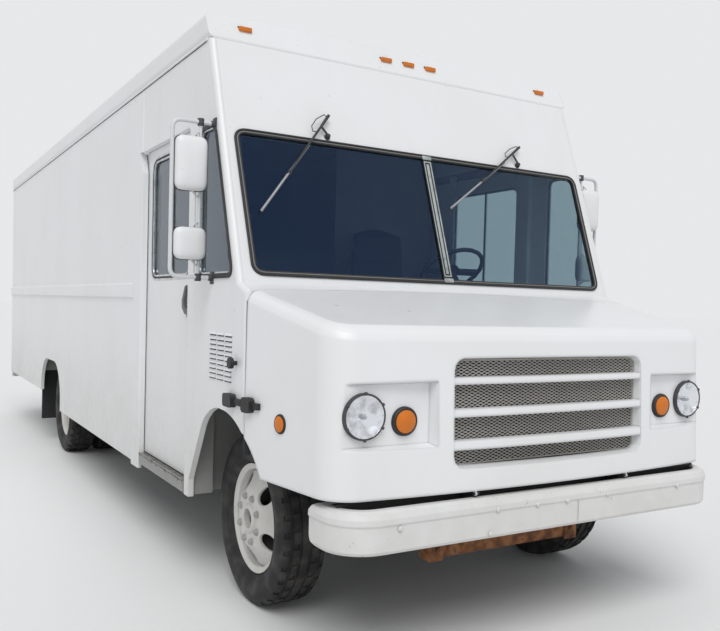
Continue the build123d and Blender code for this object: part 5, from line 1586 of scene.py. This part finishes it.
@dataclass
class Mirrors:
    """Tube loops with a tall and a short mirror head on each side."""

    place: float = -3.054
    reach: float = 1.392
    high: float = 2.330
    low: float = 1.590
    post: float = 1.256
    wall: float = 1.186
    bend: float = 0.045
    head_corner: float = 0.038
    heads: Sequence[Point] = ((1.999, 2.254), (1.673, 1.825))
    head_sides: Point = (1.231, 1.382)
    # Depth of each step of a shell's crowned back, and the share of its width and height that it keeps
    crown: Sequence[Point] = ((0.008, 0.975), (0.006, 0.93), (0.004, 0.86), (0.003, 0.75), (0.0015, 0.55))

    def arm(self) -> Piece:
        """Bends the outer tube, the inner post and the stays of one side."""
        y = self.place
        path = [(self.wall, y, self.high), *self.turn((self.reach, self.high), (-1, 0), (0, -1)),
                *self.turn((self.reach, self.low), (0, 1), (-1, 0)), (self.wall, y, self.low)]
        rod_x = self.post + 0.020
        pieces = [Piece.tube(path, 0.0105, sides=4),
                  Piece.tube([(self.post, y, self.low), (self.post, y, self.high)], 0.0085, sides=4),
                  Piece.tube([(rod_x, y - 0.002, self.low + 0.02), (rod_x, y - 0.002, 2.28)], 0.0035)]
        for low, high in self.heads:
            middle = (low + high) / 2
            stay = [(self.post, y, middle + 0.05), (self.post + 0.035, y - 0.006, middle + 0.03),
                    (1.300, y - 0.008, middle + 0.01), (self.reach - 0.01, y, middle)]
            pieces.append(Piece.tube(stay, 0.0055))
            for z, way in ((low, -1), (high, 1)):
                hook = [(self.post, y, z + way * 0.030), (self.post + 0.018, y - 0.008, z + way * 0.022),
                        (self.post + 0.038, y - 0.012, z + way * 0.004),
                        (self.post + 0.040, y - 0.014, z - way * 0.012)]
                pieces.append(Piece.tube(hook, 0.0045))
        return Piece.joined(pieces)

    def turn(self, corner: Point, before: Point, after: Point) -> list[Vector]:
        """Points round one bend of the outer tube.

        Args:
            corner: The corner's X and Z.
            before: Direction from the corner back along the tube.
            after: Direction from the corner on along it.

        Returns:
            The bend's points.
        """
        spot = Vector((corner[0], self.place, corner[1]))
        first = spot + Vector((before[0], 0, before[1])) * self.bend
        last = spot + Vector((after[0], 0, after[1])) * self.bend
        return [first.lerp(spot, step / 5).lerp(spot.lerp(last, step / 5), step / 5) for step in range(6)]

    def plate(self, low: float, high: float, grow: float, start: float, depth: float) -> Piece:
        """Plate with a mirror head's rounded outline.

        Args:
            low: The head's lower edge.
            high: Its upper edge.
            grow: How far the outline lies outside the head's.
            start: Y place of the plate's first face.
            depth: How far it reaches along Y.

        Returns:
            The plate.
        """
        inner, outer = self.head_sides
        corners = grown(((inner, low), (outer, low), (outer, high), (inner, high)), grow)
        line = rounded([(x, start, z) for x, z in corners], self.head_corner, 6)
        return Piece.drawn(line, True).pushed((0, depth, 0)).cleaned()

    def build(self) -> None:
        """Makes the arms, heads, glasses and clamps of both sides."""
        self.arm().both_sides().fit("mirror_arms", "chassis", Coat.ARM, ["mirrors"])
        shells, rims, glasses = [], [], []
        back = self.place - 0.008
        for low, high in self.heads:
            middle = (sum(self.head_sides) / 2, back, (low + high) / 2)
            shell = self.plate(low, high, 0.0, back + 0.004, -0.026).pick(looks_forward)
            for depth, factor in self.crown:
                shell.drawn_out((0, -depth, 0), (factor, 1, factor), middle)
            shells.append(shell)
            rims.append(self.plate(low, high, 0.003, back - 0.002, 0.008).soften(0.002))
            glasses.append(self.plate(low, high, -0.008, back, 0.0085))
        Piece.joined(shells).both_sides().fit("mirror_shells", "chassis", Coat.GEL)
        Piece.joined(rims).both_sides().fit("mirror_rims", "chassis", Coat.RUBBER)
        Piece.joined(glasses).both_sides().fit("mirror_glasses", "chassis", Coat.SILVER)
        feet, wall, y = [], self.wall, self.place
        for z in (self.low, self.high):
            feet += [Piece.box((wall - 0.005, y - 0.022, z - 0.030), (wall + 0.004, y + 0.022, z + 0.030)),
                     Piece.rod((wall, y, z), (wall + 0.020, y, z), 0.017, 0.014),
                     Piece.rod((self.post, y, z - 0.018), (self.post, y, z + 0.018), 0.016)]
        Piece.joined(feet).soften(0.003).both_sides().fit("mirror_clamps", "chassis", Coat.CLAMP)


@dataclass
class DoorFittings:
    """Grey door levers, and thin dark boxes that paint the shade inside the louvres' openings."""

    lever: Sequence[Point] = ((-2.655, 1.3985), (-2.592, 1.4063), (-2.5477, 1.4388), (-2.5453, 1.4804),
                              (-2.5924, 1.5538), (-2.6148, 1.5575), (-2.5787, 1.4780), (-2.5805, 1.4530),
                              (-2.6055, 1.4335), (-2.655, 1.4275))
    foot: Sequence[Point] = ((1.147, -2.6765, 1.3885), (1.1715, -2.6255, 1.4395))
    louvre_first: Point = (-3.338, 1.112)
    louvre_pitch: Point = (0.102, 0.023)
    louvre_columns: int = 3
    louvre_rows: int = 10
    lever_back: float = 1.1545
    lever_depth: float = 0.0169

    def build(self) -> None:
        """Makes the levers and the painted shade of the louvre openings."""
        for name, side in SIDES:
            foot = Piece.box(*(sided(side, place) for place in self.foot)).soften(0.004)
            bar = Piece.drawn([(side * self.lever_back, y, z) for y, z in grown(self.lever, 0.0012)], True)
            bar.pushed((side * self.lever_depth, 0, 0)).soften(0.002)
            Piece.joined([foot, bar]).fit(f"door_lever_{name}", f"cab_door_{name}", Coat.LEVER)
        # Each louvre opening is a thin dark box on the side: painted shade, not a cut
        slot_shades = []
        for column in range(self.louvre_columns):
            for row in range(self.louvre_rows):
                y = self.louvre_first[0] + self.louvre_pitch[0] * column
                z = self.louvre_first[1] + self.louvre_pitch[1] * row
                slot_shades.append(Piece.box((HALF_WIDTH - 0.001, y + 0.002, z - 0.0062),
                                       (HALF_WIDTH + 0.0012, y + 0.086, z + 0.0004)))
        Piece.joined(slot_shades).both_sides().fit("louvre_slot_shade", "chassis", Coat.SEAM)


@dataclass
class BodySeams:
    """Rivets, drip rails and dark seams on the body; the dark strip under each drip rail is partly a seam and
    partly the rail's painted shadow.
    """

    box_front: float = -1.627
    box_rear: float = 4.150
    rivet_pitch: float = 0.115
    rivet_heights: Sequence[float] = (2.735, 1.460, 1.604)
    post_rivets: int = 18
    post_rivet_low: float = 0.70
    post_rivet_pitch: float = 0.112
    # How far the drip rail and the dark strip under it reach forward of the cargo box, and their heights; the
    # strip is partly a seam and partly the rail's painted shadow
    rail_reach: float = 1.30
    rail_heights: Point = (2.765, 2.777)
    seam_and_shadow_reach: float = 1.28
    seam_and_shadow_heights: Point = (2.7605, 2.7655)
    hood_gap: Sequence[Point] = ((1.150, -3.4985, 0.80), (1.180, -3.4935, 1.485))

    def rivets(self) -> Piece:
        """Rows of flat rivets along the rub rail, the roof rail and the corner posts."""
        rivet = Piece.lathe([(0.0, 0.0016), (0.0032, 0.0013), (0.0052, 0.0), (0.0, -0.0004)],
                            facing((0, 0, 0), (1, 0, 0)), 8)
        count = int((self.box_rear - self.box_front - 0.08) / self.rivet_pitch)
        places = [(HALF_WIDTH, self.box_front + 0.06 + number * self.rivet_pitch, height)
                  for number in range(count) for height in self.rivet_heights]
        places += [(HALF_WIDTH, self.box_rear - 0.03, self.post_rivet_low + self.post_rivet_pitch * number)
                   for number in range(self.post_rivets)]
        return rivet.repeated(Matrix.Translation(place) for place in places).both_sides()

    def build(self) -> None:
        """Makes the rivets, the roof's drip rail, the dark seams and the painted shadow under the rail."""
        self.rivets().fit("body_rivets", "chassis", Coat.WHITE)
        low, high = self.rail_heights
        rail = Piece.box((HALF_WIDTH - 0.002, self.box_front - self.rail_reach, low),
                         (HALF_WIDTH + 0.0075, self.box_rear, high))
        rail.soften(0.003).both_sides().fit("drip_rails", "chassis", Coat.WHITE)
        # Dark strip under the drip rail: partly the seam, partly the rail's painted shadow
        low, high = self.seam_and_shadow_heights
        seam = Piece.box((HALF_WIDTH - 0.002, self.box_front - self.seam_and_shadow_reach, low),
                         (HALF_WIDTH + 0.0012, self.box_rear, high))
        seam.both_sides().fit("body_seams_and_rail_shadow", "chassis", Coat.SEAM)
        Piece.box(*self.hood_gap).both_sides().fit("hood_seam", "chassis", Coat.SEAM)


@dataclass
class Underside:
    """Fuel tank straps, the dark pan behind the bumper and the step edges."""

    strap_places: Sequence[float] = (-0.980, -0.420)
    strap_corners: Sequence[Point] = ((-0.924, 0.368), (-0.924, 0.664), (-0.428, 0.664), (-0.428, 0.368))
    pan: Sequence[Point] = ((-1.05, -4.128, 0.505), (1.05, -4.116, 0.706))
    step_lip: Sequence[Point] = ((1.183, -2.660, 0.505), (1.187, -1.800, 0.529))
    step_top: Sequence[Point] = ((0.862, -2.655, 0.5195), (1.186, -1.800, 0.5235))

    def build(self) -> None:
        """Makes the straps, the pan and the worn step edges."""
        straps = [Piece.ring_of([(x, y, z) for x, z in self.strap_corners], 0.005, (0, 0.040, 0))
                  for y in self.strap_places]
        Piece.joined(straps).fit("tank_straps", "chassis", Coat.LEVER)
        pan = Piece.box(*self.pan).pick(looks_forward).inset(0.020, -0.004).soften(0.002)
        pan.fit("bumper_pan", "chassis", Coat.FRAME)
        plates = [Piece.box(*corners).soften(0.001) for corners in (self.step_lip, self.step_top)]
        Piece.joined(plates).both_sides().fit("step_plates", "chassis", Coat.STEP)


@dataclass
class DriverSeat:
    """Padded driver's seat on a pedestal."""

    cushion_low: Point = (0.168, -2.440, 1.292)
    cushion_high: Point = (0.632, -1.976, 1.402)
    back_centre: Point = (0.400, -2.033, 1.700)
    back_size: tuple[float, float, float] = (0.446, 0.636, 0.088)
    lean: float = 8.0
    stand: Sequence[Point] = ((0.25, -2.353, 0.79), (0.55, -2.053, 1.285))
    tray: Sequence[Point] = ((0.190, -2.415, 1.270), (0.610, -2.000, 1.297))
    bar: Sequence[Point] = ((0.34, -2.020, 1.30), (0.46, -1.996, 1.46))

    def padded_form(self, size: Point, channels: Sequence[float]) -> Piece:
        """Crowned pad about the origin with a sewn border and sewn channels across it.

        Args:
            size: Width, length and thickness.
            channels: Places of the channels along its length, from -1 to 1.

        Returns:
            The pad.
        """
        half = [value / 2 for value in size]
        pad = Piece.pillow([-value for value in half], half, 0.42, 40)

        def sewn(spot: Vector) -> Vector:
            u, v = spot.x / half[0], spot.y / half[1]
            edge = 1 - 0.035 * (1 - abs(v) ** 2) * abs(u) ** 4
            dip = sum(math.exp(-((v - line) * half[1] / 0.008) ** 2) for line in channels) * (abs(u) < 0.86)
            border = math.exp(-((max(abs(u), abs(v)) - 0.86) * half[0] / 0.007) ** 2)
            sunk = 0.16 * min(dip + border, 1.0) * (spot.z > 0)
            return Vector((spot.x * edge, spot.y, spot.z * (1 - sunk)))

        return pad.shaped(sewn)

    def build(self) -> None:
        """Makes the cushion, the back and the pedestal."""
        low, high = Vector(self.cushion_low), Vector(self.cushion_high)
        cushion = self.padded_form(tuple(high - low), (-0.45, 0.0, 0.45)).moved(
            Matrix.Translation((low + high) / 2))
        cushion.fit("seat_cushion", "chassis", Coat.VINYL, ["seat"], 80)
        turn = (Matrix.Translation(self.back_centre) @ Matrix.Rotation(math.radians(90 - self.lean), 4, "X")
                @ Matrix.Translation((0, 0, self.back_size[2] / -2)))
        back = self.padded_form(self.back_size, (-0.5, -0.1, 0.3)).moved(turn)
        back.fit("seat_back", "chassis", Coat.VINYL, (), 80)
        stand = Piece.box(*self.stand)
        stand.pick(lambda centre, normal: abs(normal.z) < 0.5).inset(0.035, -0.012, True)
        tray, bar = Piece.box(*self.tray).soften(0.006), Piece.box(*self.bar).soften(0.004)
        Piece.joined([stand.soften(0.004), tray, bar]).fit("seat_pedestal", "chassis", Coat.CAB)


@dataclass
class CarriedNodes:
    """The CAD nodes that stay in view, dressed in the van's finishes."""

    frame: dict[str, Any]

    def build(self) -> None:
        """Gives every CAD node its slot's finish."""
        finishes = {coat.value.name: coat for coat in Coat}
        for part in self.frame["record"]["subparts"]:
            node = self.frame["nodes"][part["node"]]
            node.data.materials.clear()
            node.data.materials.append(finishes[part["material_slot"]].material())


def main() -> None:
    """Builds the scene in order and reports each piece."""
    logging.basicConfig(level=logging.INFO, format="%(name)s: %(message)s")
    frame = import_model()
    Studio().build()
    CarriedNodes(frame).build()
    for assembly in (Tyres(), Wheels(), Lamps(), GrilleScreen(), BumperBolts(), Windshield(), WindowFrames(),
                     Mirrors(), DoorFittings(), BodySeams(), Underside(), DriverSeat()):
        assembly.build()
    Piece.rest()


if __name__ == "__main__":
    main()
